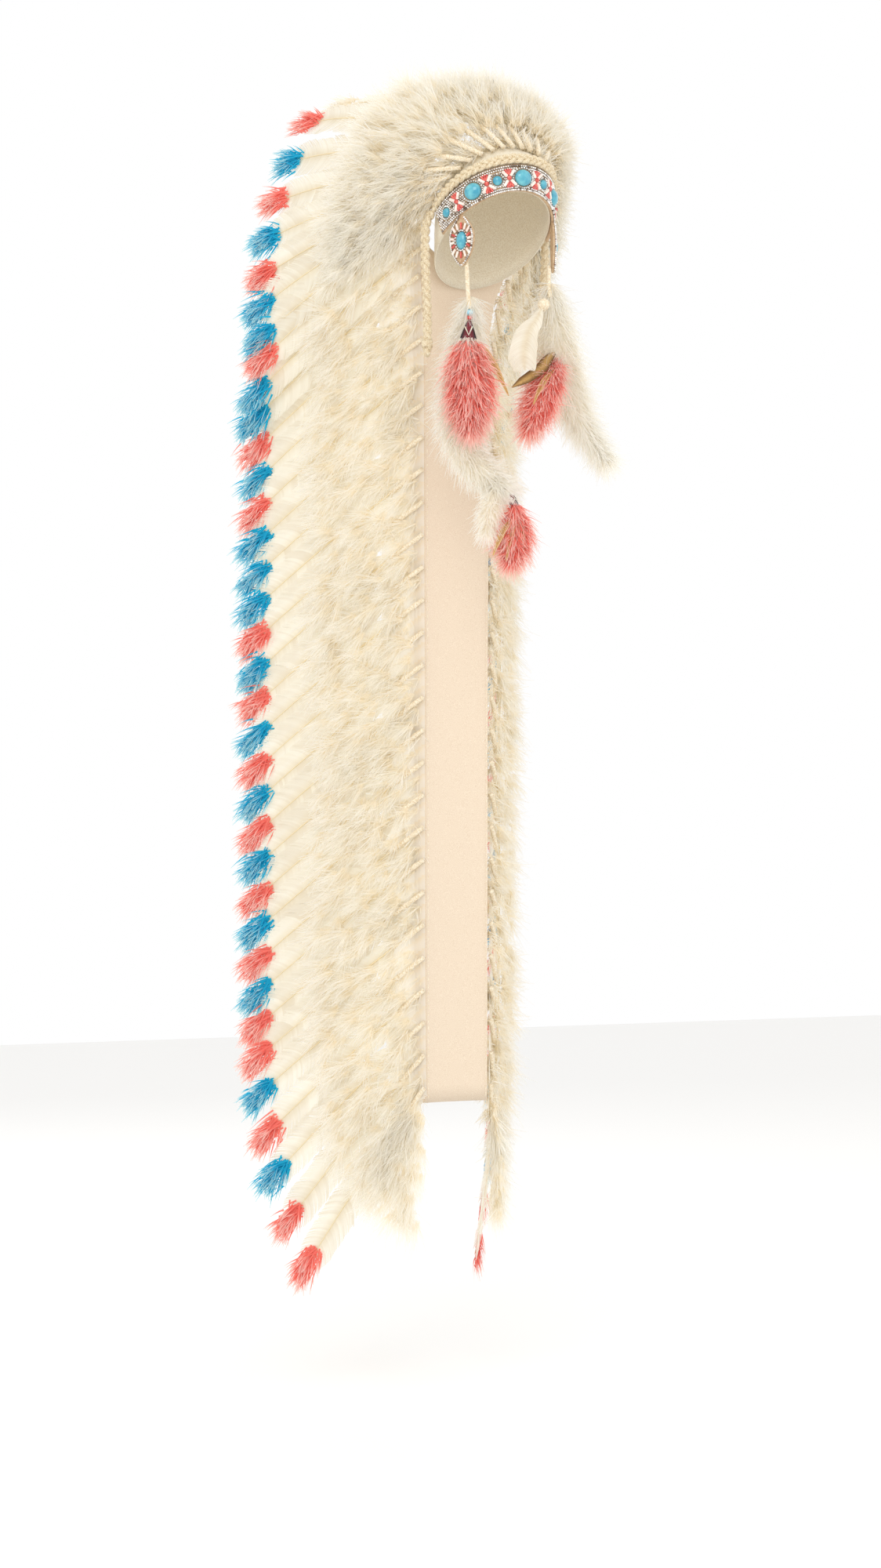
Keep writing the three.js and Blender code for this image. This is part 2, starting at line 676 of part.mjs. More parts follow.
const THONG = { diameter: 6, steps: 4 };
const RIGHT_THONG = [{ x: -65.4, y: -54, z: -95 }, { x: -65.1, y: -58, z: -121 }];
const LEFT_THONG = [{ x: 58.2, y: -54, z: -79 }, { x: 58.5, y: -58, z: -98 }];
const RIGHT_BEADS = [
  { name: 'blue', width: 9.5, height: 8, material: MATERIALS.blueBead },
  { name: 'coral', width: 7.6, height: 6, material: MATERIALS.coralBead },
];
const RIGHT_FEATHER = [
  { x: -65.6, y: -58.6, z: -136.2, wide: 7, deep: 6 },
  { x: -70, y: -65, z: -152, wide: 22, deep: 7 },
  { x: -73, y: -69, z: -176, wide: 36, deep: 9 },
];
const RIGHT_FLUFF = [
  { x: -73, y: -69.1, z: -176.4, wide: 32, deep: 12 },
  { x: -73.5, y: -72, z: -202, wide: 54, deep: 26 },
  { x: -73.5, y: -76, z: -234, wide: 68, deep: 30 },
  { x: -74, y: -78, z: -266, wide: 58, deep: 22 },
  { x: -73, y: -78, z: -294, wide: 0 },
];
const RIGHT_FUR = [
  { x: -61, y: -51.9, z: -114, wide: 8, deep: 8 },
  { x: -60, y: -45, z: -136, wide: 24, deep: 16 },
  { x: -62, y: -40, z: -165, wide: 42, deep: 22 },
  { x: -70, y: -38, z: -215, wide: 48, deep: 24 },
  { x: -75, y: -39, z: -263, wide: 48, deep: 24 },
  { x: -70, y: -46, z: -302, wide: 46, deep: 24 },
  { x: -52, y: -60, z: -334, wide: 40, deep: 22 },
  { x: -28, y: -71, z: -357, wide: 28, deep: 18 },
  { x: -13, y: -77, z: -368, wide: 12, deep: 10 },
];
const END_FEATHER = [
  { x: -12.6, y: -77.2, z: -368.7, wide: 9, deep: 6 },
  { x: -10.5, y: -79, z: -378, wide: 13, deep: 7 },
  { x: -8, y: -80, z: -391, wide: 9, deep: 6 },
];
const END_FLUFF = [
  { x: -7.9, y: -80.1, z: -391.4, wide: 11, deep: 8 },
  { x: -9, y: -82, z: -410, wide: 38, deep: 20 },
  { x: -12, y: -84, z: -436, wide: 54, deep: 24 },
  { x: -16, y: -85, z: -456, wide: 36, deep: 14 },
  { x: -19, y: -85, z: -470, wide: 0 },
];
const LEFT_BALL = { x: 45, y: -64, z: -109, diameter: 17 };
const LEFT_KNOT = { x: 53.2, y: -60.5, z: -102, diameter: 9.5 };
const LEFT_OVAL = [
  { x: 41, y: -65.5, z: -114, wide: 6, deep: 4 },
  { x: 33, y: -68, z: -128, wide: 22, deep: 3.4 },
  { x: 20, y: -70, z: -146, wide: 35, deep: 3.2 },
  { x: 11, y: -72, z: -172, wide: 39, deep: 3 },
  { x: 10, y: -73, z: -190, wide: 28, deep: 2.8 },
  { x: 11, y: -74, z: -201, wide: 0 },
];
const LEFT_FUR = [
  { x: 64.5, y: -52.3, z: -90, wide: 8, deep: 8 },
  { x: 67, y: -48, z: -112, wide: 26, deep: 16 },
  { x: 74, y: -44, z: -142, wide: 48, deep: 24 },
  { x: 80, y: -43, z: -180, wide: 62, deep: 26 },
  { x: 90, y: -43, z: -216, wide: 58, deep: 26 },
  { x: 106, y: -42, z: -250, wide: 44, deep: 22 },
  { x: 128, y: -40, z: -280, wide: 24, deep: 16 },
  { x: 148, y: -39, z: -303, wide: 10, deep: 7 },
  { x: 163, y: -38, z: -321, wide: 8, deep: 3 },
];
const LEFT_STRIPED = [
  { x: 68, y: -49, z: -171, wide: 10, deep: 5 },
  { x: 57, y: -58, z: -179, wide: 16, deep: 4.5 },
  { x: 41, y: -64, z: -195, wide: 19, deep: 4 },
  { x: 17, y: -68, z: -211, wide: 16, deep: 3 },
  { x: -6, y: -70, z: -224, wide: 0 },
];
const LEFT_FLUFF = [
  { x: 68, y: -50, z: -190, wide: 16, deep: 10 },
  { x: 56, y: -60, z: -206, wide: 32, deep: 18 },
  { x: 44, y: -64, z: -230, wide: 46, deep: 26 },
  { x: 30, y: -68, z: -258, wide: 44, deep: 22 },
  { x: 15, y: -70, z: -290, wide: 0 },
];

// A thong starts behind the flap, near its point
function thongRoute(side, points) {
  const start = vec(3, 9 - FLAP.height / 2, -FLAP.leather - 2 * GAP - THONG.diameter / 2)
    .applyMatrix4(flapMatrix(side, 0));
  return [start, ...points];
}

function thong(side, points, grow = 0) {
  const line = thongRoute(side, points);
  return placed(tube(line, AS_DRAWN, THONG.diameter + 2 * grow, THONG.steps), new THREE.Matrix4());
}

function bead({ x, y, z }, width, height = width) {
  return new THREE.SphereGeometry(0.5, BEAD.sides, 4).rotateX(Math.PI / 2)
    .scale(width, width, height).translate(x, y, z);
}

function rightDrop(side) {
  addNode('drop_thong_right', thong(side, RIGHT_THONG), MATERIALS.leather);
  const end = RIGHT_THONG[RIGHT_THONG.length - 1];
  let low = end.z;
  for (const { name, width, height, material } of RIGHT_BEADS) {
    const middle = { x: end.x, y: end.y, z: low - GAP - height / 2 };
    addNode(`drop_${name}_bead_right`, placed(bead(middle, width, height), new THREE.Matrix4()), material);
    low = middle.z - height / 2;
  }
  addNode('drop_feather_right', softDrop(RIGHT_FEATHER), MATERIALS.maroon);
  const fluff = { sides: 10, lobes: 0.16 };
  const seated = (rows, shape, carrier, carrierShape) => geometryOf(
    cutBy(solid(softDrop(rows, shape)), [solid(softDrop(carrier, { ...carrierShape, grow: GAP }))]),
  );
  addNode('drop_fluff_right', seated(RIGHT_FLUFF, fluff, RIGHT_FEATHER), MATERIALS.coralFluff);
  addNode('fur_tail_right', softDrop(RIGHT_FUR), MATERIALS.fur);
  addNode('tail_end_feather_right', seated(END_FEATHER, { sides: 6 }, RIGHT_FUR), MATERIALS.maroon);
  addNode('tail_end_fluff_right', seated(END_FLUFF, fluff, END_FEATHER, { sides: 6 }), MATERIALS.coralFluff);
}

function leftDrop(side) {
  const ball = fused([
    bead(LEFT_BALL, LEFT_BALL.diameter),
    bead(LEFT_KNOT, LEFT_KNOT.diameter),
  ]);
  const ballRoom = fused([bead(LEFT_BALL, LEFT_BALL.diameter + 2 * GAP)]);
  const furRoom = fused([softDrop(LEFT_FUR, { grow: GAP })]);
  const stripedRoom = fused([softDrop(LEFT_STRIPED, { sides: 6, grow: GAP })]);
  addNode('drop_thong_left', thong(side, LEFT_THONG), MATERIALS.leather);
  addNode('drop_ball_left', geometryOf(ball), MATERIALS.down);
  const oval = cutBy(solid(softDrop(LEFT_OVAL, { sides: 6 })), [ballRoom]);
  addNode('drop_oval_feather_left', geometryOf(oval), MATERIALS.feather);
  addNode('fur_tail_left', softDrop(LEFT_FUR), MATERIALS.fur);
  const striped = cutBy(solid(softDrop(LEFT_STRIPED, { sides: 6 })), [furRoom]);
  addNode('drop_striped_feather_left', geometryOf(striped), MATERIALS.striped);
  const fluff = cutBy(solid(softDrop(LEFT_FLUFF, { sides: 10, lobes: 0.16 })), [furRoom, stripedRoom]);
  addNode('drop_fluff_left', geometryOf(fluff), MATERIALS.coralFluff);
}

addNode('skull_cap', skullCap(), MATERIALS.felt);
addNode('brow_band', browBand(), MATERIALS.leather);
addNode('brow_braid', browBraid(), MATERIALS.braid);

// The yoke round the back of the cap ends in a seam, and the strip hangs from it
const seam = CLOTH_ROWS[YOKE_ROWS - 1];
const stripTop = { ...seam, fold: seam.fold - GAP, middle: seam.middle - GAP };
addNode('trailer_yoke', trailerCloth(CLOTH_ROWS.slice(0, YOKE_ROWS)), MATERIALS.cloth);
addNode('trailer_strip', trailerCloth([stripTop, ...CLOTH_ROWS.slice(YOKE_ROWS)]), MATERIALS.cloth);

CABOCHONS.forEach(({ angle, width, height, rise }, i) => {
  const stone = placed(cabochon(width, height, rise), browFrame(angle, GAP));
  addNode(`brow_cabochon_${i + 1}`, stone, MATERIALS.turquoise);
});
STAR_ANGLES.forEach((angle, i) => {
  const star = placed(beadStar(), browFrame(angle, BEAD.centreHeight / 2 + GAP));
  addNode(`bead_star_${i + 1}`, star, MATERIALS.tubeBead);
});

for (const side of SIDES) {
  const crownFrames = crownAngles.map((angle) => crownFeatherFrame(angle, side));
  const trailerFrames = trailerHeights.map((height) => trailerFeatherFrame(height, side));
  const crown = fused([crownBacking(side), ...crownFrames.map((frame) => feather(frame, side))]);
  const crownRoom = fused(crownFrames.map((frame) => feather(frame, side, ROOM)));
  const trailer = fused([trailerBacking(side), ...trailerFrames.map((frame) => feather(frame, side))]);

  addNode(`crown_feathers_${side.name}`, geometryOf(crown), MATERIALS.feather);
  addNode(`trailer_feathers_${side.name}`, geometryOf(cutBy(trailer, [crownRoom])), MATERIALS.feather);
  addNode(`crown_down_${side.name}`, crownDown(side), MATERIALS.down);
  addNode(`trailer_down_${side.name}`, trailerDown(side), MATERIALS.down);

  addNode(`ear_flap_${side.name}`, earFlap(side), MATERIALS.leather);
  addNode(`flap_beads_${side.name}`, flapBeads(side), MATERIALS.tubeBead);
  const stone = cabochon(FLAP_STONE.width, FLAP_STONE.height, FLAP_STONE.rise);
  addNode(`flap_cabochon_${side.name}`, placed(stone, flapMatrix(side, GAP)), MATERIALS.turquoise);
  const tail = tube(BRAID_TAIL_ROUTE, side, BRAID_TAIL.diameter, BRAID_TAIL.steps);
  addNode(`braid_tail_${side.name}`, placed(tail, new THREE.Matrix4()), MATERIALS.braid);
}
rightDrop(SIDES[0]);
leftDrop(SIDES[1]);

export default headdress;
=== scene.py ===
# %% [markdown]
# # A full-length feathered headdress
# The solids from the CAD step give each piece's size and place. Here each soft solid is
# replaced by what it stands for: barbs, down, tufts, fur, braid and beads.
# Sizes are in millimetres and turned into metres when a mesh is made. The wearer faces -Y,
# the wearer's right is -X, and the origin is the middle of the head opening.

# %% Load the solids
import math

import bpy
import numpy as np
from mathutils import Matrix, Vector


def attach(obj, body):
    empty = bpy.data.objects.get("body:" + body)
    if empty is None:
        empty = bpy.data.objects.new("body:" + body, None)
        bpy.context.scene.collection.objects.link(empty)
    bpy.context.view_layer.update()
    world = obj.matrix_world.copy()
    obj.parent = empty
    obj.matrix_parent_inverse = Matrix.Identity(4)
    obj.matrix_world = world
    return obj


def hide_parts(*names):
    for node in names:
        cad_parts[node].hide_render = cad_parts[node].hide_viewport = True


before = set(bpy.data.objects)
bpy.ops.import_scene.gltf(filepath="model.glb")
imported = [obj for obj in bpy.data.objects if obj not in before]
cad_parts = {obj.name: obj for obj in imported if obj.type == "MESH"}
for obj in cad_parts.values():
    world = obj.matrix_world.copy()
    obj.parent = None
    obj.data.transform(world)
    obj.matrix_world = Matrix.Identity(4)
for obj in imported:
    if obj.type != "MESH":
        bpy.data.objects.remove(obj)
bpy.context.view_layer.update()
MM = 0.001

# %% [markdown]
# ## Camera
# The view is level and turned 27 degrees from the wearer's front, five metres away, so that
# the perspective is weak. It could be set by eye, but these numbers were solved from points
# whose real places are known, such as the band's stones.

# %% Camera
VIEW_TURN = math.radians(27)
VIEW_DISTANCE = 5.0
VIEW_TARGET = Vector((-0.0629, 0.0321, -0.7586))
VIEW_HEIGHT = 2.14


def make_camera():
    data = bpy.data.cameras.new("camera")
    data.sensor_width = 36
    data.lens = VIEW_DISTANCE * data.sensor_width / VIEW_HEIGHT
    ahead = Vector((math.sin(VIEW_TURN), math.cos(VIEW_TURN), 0))
    camera = bpy.data.objects.new("camera", data)
    camera.location = VIEW_TARGET - ahead * VIEW_DISTANCE
    camera.rotation_euler = ahead.to_track_quat("-Z", "Y").to_euler()
    bpy.context.scene.collection.objects.link(camera)
    bpy.context.scene.camera = camera
    return camera


camera = make_camera()
print("lens", round(camera.data.lens, 1), "mm")

# %% [markdown]
# ## Sizes shared with the solids
# The feathers stand in two fans: a crown round the cap and a row down each edge of the trailer.
# The solids were made from these tables, so the same tables place each feather here.

# %% Named sizes
GAP = 0.3
CAP = dict(half_width=77.7, half_depth=84.7, top=106.0, felt=2.2, roundness=0.7)
BAND = dict(height=36.0, leather=3.0, ease=1.1, tilt=32.0, end=90.0)
BRAID = dict(width=13.0, thickness=9.0)
QUILL = 7.5
FEATHER = dict(length=335.0, droop=12.0, twist=7.0)
CROWN = dict(feathers=11, first=5.5, step=11.0, seat_rise=20.3, seat_out=6.0)
YOKE = [-22, -56, -96]
TRAILER_HEIGHTS = YOKE + [YOKE[-1] - 45 * (j + 1) for j in range(24)]
LAST_QUILL = TRAILER_HEIGHTS[-1]
HEM = LAST_QUILL - 18
CLOTH = dict(thickness=1.6, wing=22.0)
ROW = dict(width=12.0, thickness=1.5, ease=0.6)
RIGHT, LEFT = dict(name="right", sign=-1, sweep=0.0), dict(name="left", sign=1, sweep=13.0)
SIDES = [RIGHT, LEFT]
CROWN_FAN = dict(
    at=[0, 5.5, 27.5, 38.5, 60.5, 82.5, 104.5, 115.5, 140],
    fold=[90, 87, 74, 67, 64.5, 62, 57, 54, 53],
    climb=[17.5, 17.5, 16.5, 13, -3, -18, -31, -35, -37],
    bow=[38, 38, 38, 37, 30, 22, 17, 16, 16],
)
TRAILER_FAN = dict(
    at=[-1194, -1178, -1167, -1080, -980, -300, -8],
    fold=[62, 57, 56, 52, 51, 51, 54],
    climb=[-87, -54, -52, -43, -37, -36, -36],
    bow=[3, 7, 8, 12, 14, 15, 16],
)
FOLD_LINE = dict(
    at=[-1200, -600, -132, -87, -42, -8, -6],
    x=[-46, -47, -49, -54, -66, -72, -72.2],
    y=[104, 104, 103, 98, 80, 58, 57],
)
SLOPE = math.tan(math.radians(BAND["tilt"]))
RING_A = CAP["half_width"] + BAND["ease"] + BAND["leather"]
RING_B = CAP["half_depth"] + BAND["ease"] + BAND["leather"]
UP = np.array([0.0, 0.0, 1.0])
print("feathers", 2 * (CROWN["feathers"] + len(TRAILER_HEIGHTS)))

# %% Where things sit on the band and the cap


def unit(v):
    v = np.asarray(v, float)
    return v / np.linalg.norm(v, axis=-1, keepdims=True)


def value(table, at, column):
    return float(np.interp(at, table["at"], table[column]))


def brow_normal(angle):
    turn = math.radians(angle)
    return unit([-math.sin(turn) / RING_A, -math.cos(turn) / RING_B, 0])


def brow_point(angle, rise, out):
    turn = math.radians(angle)
    run = math.hypot(RING_A * math.cos(turn), RING_B * math.sin(turn))
    climb = -SLOPE * RING_B * math.sin(turn)
    length = math.hypot(run, climb)
    moved = turn - rise * climb / length / run
    z = SLOPE * RING_B * math.cos(turn) + rise * run / length
    middle = np.array([-RING_A * math.sin(moved), -RING_B * math.cos(moved), z])
    return middle + out * brow_normal(math.degrees(moved))


def brow_axes(angle):
    """Along the band, up it and out of it."""
    along = unit(brow_point(angle + 1, 0, 0) - brow_point(angle - 1, 0, 0))
    out = brow_normal(angle)
    return along, unit(np.cross(out, along)), out


def cap_point(angle, level, inset):
    turn = math.radians(angle)
    top = SLOPE * RING_B * math.cos(turn) + BAND["height"] / 2
    lean = max(level, 0) * math.pi / 2
    reach = max(math.cos(lean), 0) ** CAP["roundness"]
    z = top + (CAP["top"] - inset - top) * math.sin(lean) if level > 0 else top + level * BAND["height"]
    return np.array([
        -(CAP["half_width"] - inset) * math.sin(turn) * reach,
        -(CAP["half_depth"] - inset) * math.cos(turn) * reach,
        z,
    ])


def crown_seat(angle):
    turn = math.radians(angle)
    top = cap_point(angle, 0, 0)[2]
    run = math.hypot(RING_A * math.cos(turn), RING_B * math.sin(turn))
    rise = CROWN["seat_rise"] * math.hypot(1, SLOPE * RING_B * math.sin(turn) / run)
    level = math.asin(rise / (CAP["top"] - top)) * 2 / math.pi
    point = cap_point(angle, level, 0)
    climb = unit(cap_point(angle, level + 0.01, 0) - point)
    round_it = cap_point(angle + 1, level, 0) - cap_point(angle - 1, level, 0)
    normal = unit(np.cross(round_it, climb))
    if normal @ brow_normal(angle) < 0:
        normal = -normal
    return point, normal


# %% Where each feather points


def chord(fold, climb):
    fold, climb = math.radians(fold), math.radians(climb)
    return np.array([-math.cos(fold) * math.cos(climb), math.sin(fold) * math.cos(climb), math.sin(climb)])


def crown_line(angle, side):
    point, normal = crown_seat(angle)
    fold = value(CROWN_FAN, angle, "fold") + side["sweep"] * min(angle / 60, 1)
    return point + normal * CROWN["seat_out"], chord(fold, value(CROWN_FAN, angle, "climb"))


def crown_frame(angle, side):
    base, direction = crown_line(angle, side)
    step = 1.5 * CROWN["step"]
    ends = [crown_line(a, side) for a in (angle + step, max(angle - step, 0))]
    middles = [b + d * FEATHER["length"] / 2 for b, d in ends]
    sloped = unit(np.cross(middles[0] - middles[1], direction))
    if sloped @ (brow_normal(angle) + UP) < 0:
        sloped = -sloped
    level = unit([-direction[1], direction[0], 0])
    t = min(max((angle - 66) / 16, 0), 1)
    t = t * t * (3 - 2 * t)
    facing = unit(sloped * (1 - t) + level * t)
    return dict(base=base, direction=direction, facing=facing, bow=value(CROWN_FAN, angle, "bow"))


def fold_point(height):
    return np.array([value(FOLD_LINE, height, "x"), value(FOLD_LINE, height, "y"), height])


def trailer_frame(height, side):
    fold = value(TRAILER_FAN, height, "fold") + side["sweep"]
    turn = math.radians(fold)
    facing = np.array([-math.sin(turn), -math.cos(turn), 0])
    out = CLOTH["thickness"] / 2 + ROW["ease"] + ROW["thickness"] + QUILL / 2 - 0.3
    direction = chord(fold, value(TRAILER_FAN, height, "climb"))
    base = fold_point(height) + facing * out + direction * 3
    return dict(base=base, direction=direction, facing=facing, bow=value(TRAILER_FAN, height, "bow"))


def shaft_point(line, along):
    """Points on a feather's shaft, for an array of distances from its base."""
    along = np.asarray(along, float)[..., None]
    part = along / FEATHER["length"]
    sag = np.maximum(part - 0.88, 0) / 0.22
    return (line["base"] + line["direction"] * along
            + line["facing"] * 4 * line["bow"] * part * (1 - part)
            - UP * FEATHER["droop"] * sag * sag)


def twisted(line):
    """A feather's own width and face, turned a little so that each one lies over the next."""
    twist = math.radians(FEATHER["twist"])
    across = unit(np.cross(line["direction"], line["facing"]))
    wide = across * math.cos(twist) + line["facing"] * math.sin(twist)
    return wide, line["facing"] * math.cos(twist) - across * math.sin(twist)


crown_angles = [CROWN["first"] + i * CROWN["step"] for i in range(CROWN["feathers"])]
print("first crown feather starts at", np.round(crown_frame(crown_angles[0], RIGHT)["base"], 1))

# %% [markdown]
# ## Finishes
# Each finish is one material. What several of them share, such as fibres with a darker root and
# a paler tip, is a node group with named sockets, so that its values are easy to change.

# %% A group for fibres


def link(tree, a, b):
    tree.links.new(a, b)


def fibre_group():
    """Colour along a fibre: root to tip by the attribute along, with some strands darker."""
    group = bpy.data.node_groups.new("fibre colour", "ShaderNodeTree")
    for name, kind in (("Root", "NodeSocketColor"), ("Tip", "NodeSocketColor"),
                       ("Start", "NodeSocketFloat"), ("End", "NodeSocketFloat"),
                       ("Streak", "NodeSocketFloat")):
        group.interface.new_socket(name, in_out="INPUT", socket_type=kind)
    group.interface.new_socket("Color", in_out="OUTPUT", socket_type="NodeSocketColor")
    nodes = group.nodes
    ins, outs = nodes.new("NodeGroupInput"), nodes.new("NodeGroupOutput")
    along, tint = nodes.new("ShaderNodeAttribute"), nodes.new("ShaderNodeAttribute")
    along.attribute_name, tint.attribute_name = "along", "tint"
    fade = nodes.new("ShaderNodeMapRange")
    fade.interpolation_type = "SMOOTHSTEP"
    mixed = nodes.new("ShaderNodeMix")
    mixed.data_type = "RGBA"
    shade = nodes.new("ShaderNodeMix")
    shade.data_type, shade.blend_type = "RGBA", "MULTIPLY"
    amount = nodes.new("ShaderNodeMath")
    amount.operation = "MULTIPLY"
    link(group, along.outputs["Fac"], fade.inputs["Value"])
    link(group, ins.outputs["Start"], fade.inputs["From Min"])
    link(group, ins.outputs["End"], fade.inputs["From Max"])
    link(group, fade.outputs["Result"], mixed.inputs[0])
    link(group, ins.outputs["Root"], mixed.inputs[6])
    link(group, ins.outputs["Tip"], mixed.inputs[7])
    link(group, tint.outputs["Fac"], amount.inputs[0])
    link(group, ins.outputs["Streak"], amount.inputs[1])
    link(group, amount.outputs[0], shade.inputs[0])
    link(group, mixed.outputs[2], shade.inputs[6])
    shade.inputs[7].default_value = (0.72, 0.62, 0.5, 1)
    link(group, shade.outputs[2], outs.inputs["Color"])
    return group


FIBRE = fibre_group()


def srgb(r, g, b):
    """A colour as the eye names it, 0 to 255, in the linear values that a shader wants."""
    shares = (c / 255 for c in (r, g, b))
    return tuple(c / 12.92 if c <= 10 / 255 else ((c + 0.055) / 1.055) ** 2.4 for c in shares) + (1,)


def plain_material(name, colour, rough, metal=0.0, coat=0.0, sheen=0.0):
    material = bpy.data.materials.new(name)
    material.use_nodes = True
    shader = material.node_tree.nodes["Principled BSDF"]
    shader.inputs["Base Color"].default_value = colour
    shader.inputs["Roughness"].default_value = rough
    shader.inputs["Metallic"].default_value = metal
    shader.inputs["Coat Weight"].default_value = coat
    shader.inputs["Sheen Weight"].default_value = sheen
    shader.inputs["Sheen Roughness"].default_value = 0.5
    return material, material.node_tree, shader


def fibre_material(name, root, tip, start=0.0, end=1.0, streak=0.3, rough=0.8, sheen=0.2,
                   thinness=0.45):
    root, tip = srgb(*root), srgb(*tip)
    material, tree, shader = plain_material(name, tip, rough, sheen=sheen)
    group = tree.nodes.new("ShaderNodeGroup")
    group.node_tree = FIBRE
    for socket, number in (("Root", root), ("Tip", tip), ("Start", start), ("End", end), ("Streak", streak)):
        group.inputs[socket].default_value = number
    link(tree, group.outputs["Color"], shader.inputs["Base Color"])
    thin = tree.nodes.new("ShaderNodeBsdfTranslucent")
    both = tree.nodes.new("ShaderNodeMixShader")
    both.inputs[0].default_value = thinness
    link(tree, group.outputs["Color"], thin.inputs["Color"])
    link(tree, shader.outputs["BSDF"], both.inputs[1])
    link(tree, thin.outputs["BSDF"], both.inputs[2])
    link(tree, both.outputs["Shader"], tree.nodes["Material Output"].inputs["Surface"])
    return material


GRAIN_HEIGHT = 0.0004


def noise_bump(tree, shader, scale, strength):
    """Fine grain: a noise on the object's own place, as height."""
    place = tree.nodes.new("ShaderNodeTexCoord")
    noise = tree.nodes.new("ShaderNodeTexNoise")
    bump = tree.nodes.new("ShaderNodeBump")
    noise.inputs["Scale"].default_value = scale
    noise.inputs["Detail"].default_value = 4.0
    bump.inputs["Strength"].default_value = strength
    bump.inputs["Distance"].default_value = GRAIN_HEIGHT
    link(tree, place.outputs["Object"], noise.inputs["Vector"])
    link(tree, noise.outputs["Fac"], bump.inputs["Height"])
    link(tree, bump.outputs["Normal"], shader.inputs["Normal"])
    return noise


def noise_colour(tree, shader, noise, low, high):
    ramp = tree.nodes.new("ShaderNodeValToRGB")
    ramp.color_ramp.elements[0].position, ramp.color_ramp.elements[1].position = 0.35, 0.65
    ramp.color_ramp.elements[0].color, ramp.color_ramp.elements[1].color = low, high
    link(tree, noise.outputs["Fac"], ramp.inputs["Fac"])
    link(tree, ramp.outputs["Color"], shader.inputs["Base Color"])


def grained(name, colour, low, high, scale, strength, rough, **finish):
    """A plain material whose grain is also seen in its colour, from low to high."""
    material, tree, shader = plain_material(name, srgb(*colour), rough, **finish)
    noise_colour(tree, shader, noise_bump(tree, shader, scale, strength), srgb(*low), srgb(*high))
    return material


def bead_material():
    """Silver beads with some bronze ones among them, by each bead's own tint."""
    material, tree, shader = plain_material("silver seed beads", srgb(226, 222, 214), 0.14,
                                            metal=0.8, coat=0.5)
    tint, ramp = tree.nodes.new("ShaderNodeAttribute"), tree.nodes.new("ShaderNodeValToRGB")
    tint.attribute_name = "tint"
    stops = ramp.color_ramp.elements
    stops[0].color = srgb(96, 70, 48)  # the last stop stays white
    for place, colour in ((0.3, srgb(252, 250, 246)), (0.42, srgb(214, 206, 196))):
        stops.new(place).color = colour
    link(tree, tint.outputs["Fac"], ramp.inputs["Fac"])
    link(tree, ramp.outputs["Color"], shader.inputs["Base Color"])
    return material


VANE = fibre_material("feather vane", (240, 230, 206), (248, 243, 228), 0.0, 0.5, 0.3, 0.6, thinness=0.3)
DOWN = fibre_material("down", (254, 248, 234), (255, 253, 247), 0.0, 0.6, 0.06, 0.9, 0.4, 0.7)
BLUE_TUFT = fibre_material("turquoise tuft", (0, 184, 222), (192, 232, 236), 0.45, 1.0, 0.06, 0.75)
CORAL_TUFT = fibre_material("coral tuft", (250, 138, 124), (254, 222, 212), 0.4, 1.0, 0.06, 0.75)
CORAL_FLUFF = fibre_material("coral fluff", (252, 146, 130), (255, 224, 214), 0.2, 0.85, 0.06, 0.8)
FUR = fibre_material("fur", (255, 251, 242), (255, 254, 250), 0.0, 0.7, 0.06, 0.8, 0.3, 0.75)
MAROON = fibre_material("maroon feather", (124, 14, 34), (28, 6, 10), 0.2, 0.9, 0.2, 0.5, thinness=0.2)
BROWN = fibre_material("golden brown feather", (206, 170, 104), (120, 82, 36),
                       0.1, 0.95, 0.6, 0.6, thinness=0.2)
GOLD = fibre_material("golden hackle", (206, 164, 92), (236, 206, 150), 0.1, 0.95, 0.5, 0.5, thinness=0.3)
SHAFT, _tree, _shader = plain_material("shaft", srgb(240, 222, 182), 0.45)
noise_bump(_tree, _shader, 900, 0.15)
WRAP = grained("wrapped quill", (240, 228, 200), (222, 200, 164), (246, 236, 212), 420, 0.8, 0.85, sheen=0.3)
FELT = grained("felt", (233, 223, 200), (220, 206, 178), (240, 232, 212), 700, 0.7, 0.95, sheen=0.5)
LEATHER = grained("leather", (206, 174, 136), (186, 150, 112), (216, 188, 152), 260, 0.6, 0.6)
COTTON = grained("cotton braid", (232, 216, 184), (208, 184, 144), (240, 228, 200), 600, 1.0, 0.85, sheen=0.2)
CLOTH_STUFF = grained("cloth", (240, 228, 206), (222, 200, 174), (240, 224, 202), 1400, 0.8, 0.9, sheen=0.3)
STONE = grained("turquoise", (70, 178, 206), (58, 156, 182), (112, 196, 206), 90, 0.05, 0.16, coat=0.6)
SILVER = bead_material()
CREAM_TUBE = grained("cream tube beads", (250, 232, 220), (246, 214, 200), (252, 242, 230),
                     220, 0.1, 0.25, coat=0.5)
CORAL_TUBE = grained("coral tube beads", (216, 78, 66), (190, 52, 48), (236, 112, 96),
                     260, 0.1, 0.25, coat=0.5)
PALE_BLUE = grained("pale blue bead", (150, 206, 224), (128, 190, 214), (190, 226, 236),
                    200, 0.1, 0.2, coat=0.5)
print("finishes", len(bpy.data.materials))

# %% [markdown]
# ## How fibres are made
# A feather is thousands of barbs. Modelled one by one by hand they would never be finished, and a
# hair system wouldn't be a mesh, so each fibre here is a flat ribbon a few faces long that starts
# on a root, goes one way and sags. One helper makes any number of them at once.

# %% Ribbons
rng = np.random.default_rng(27)


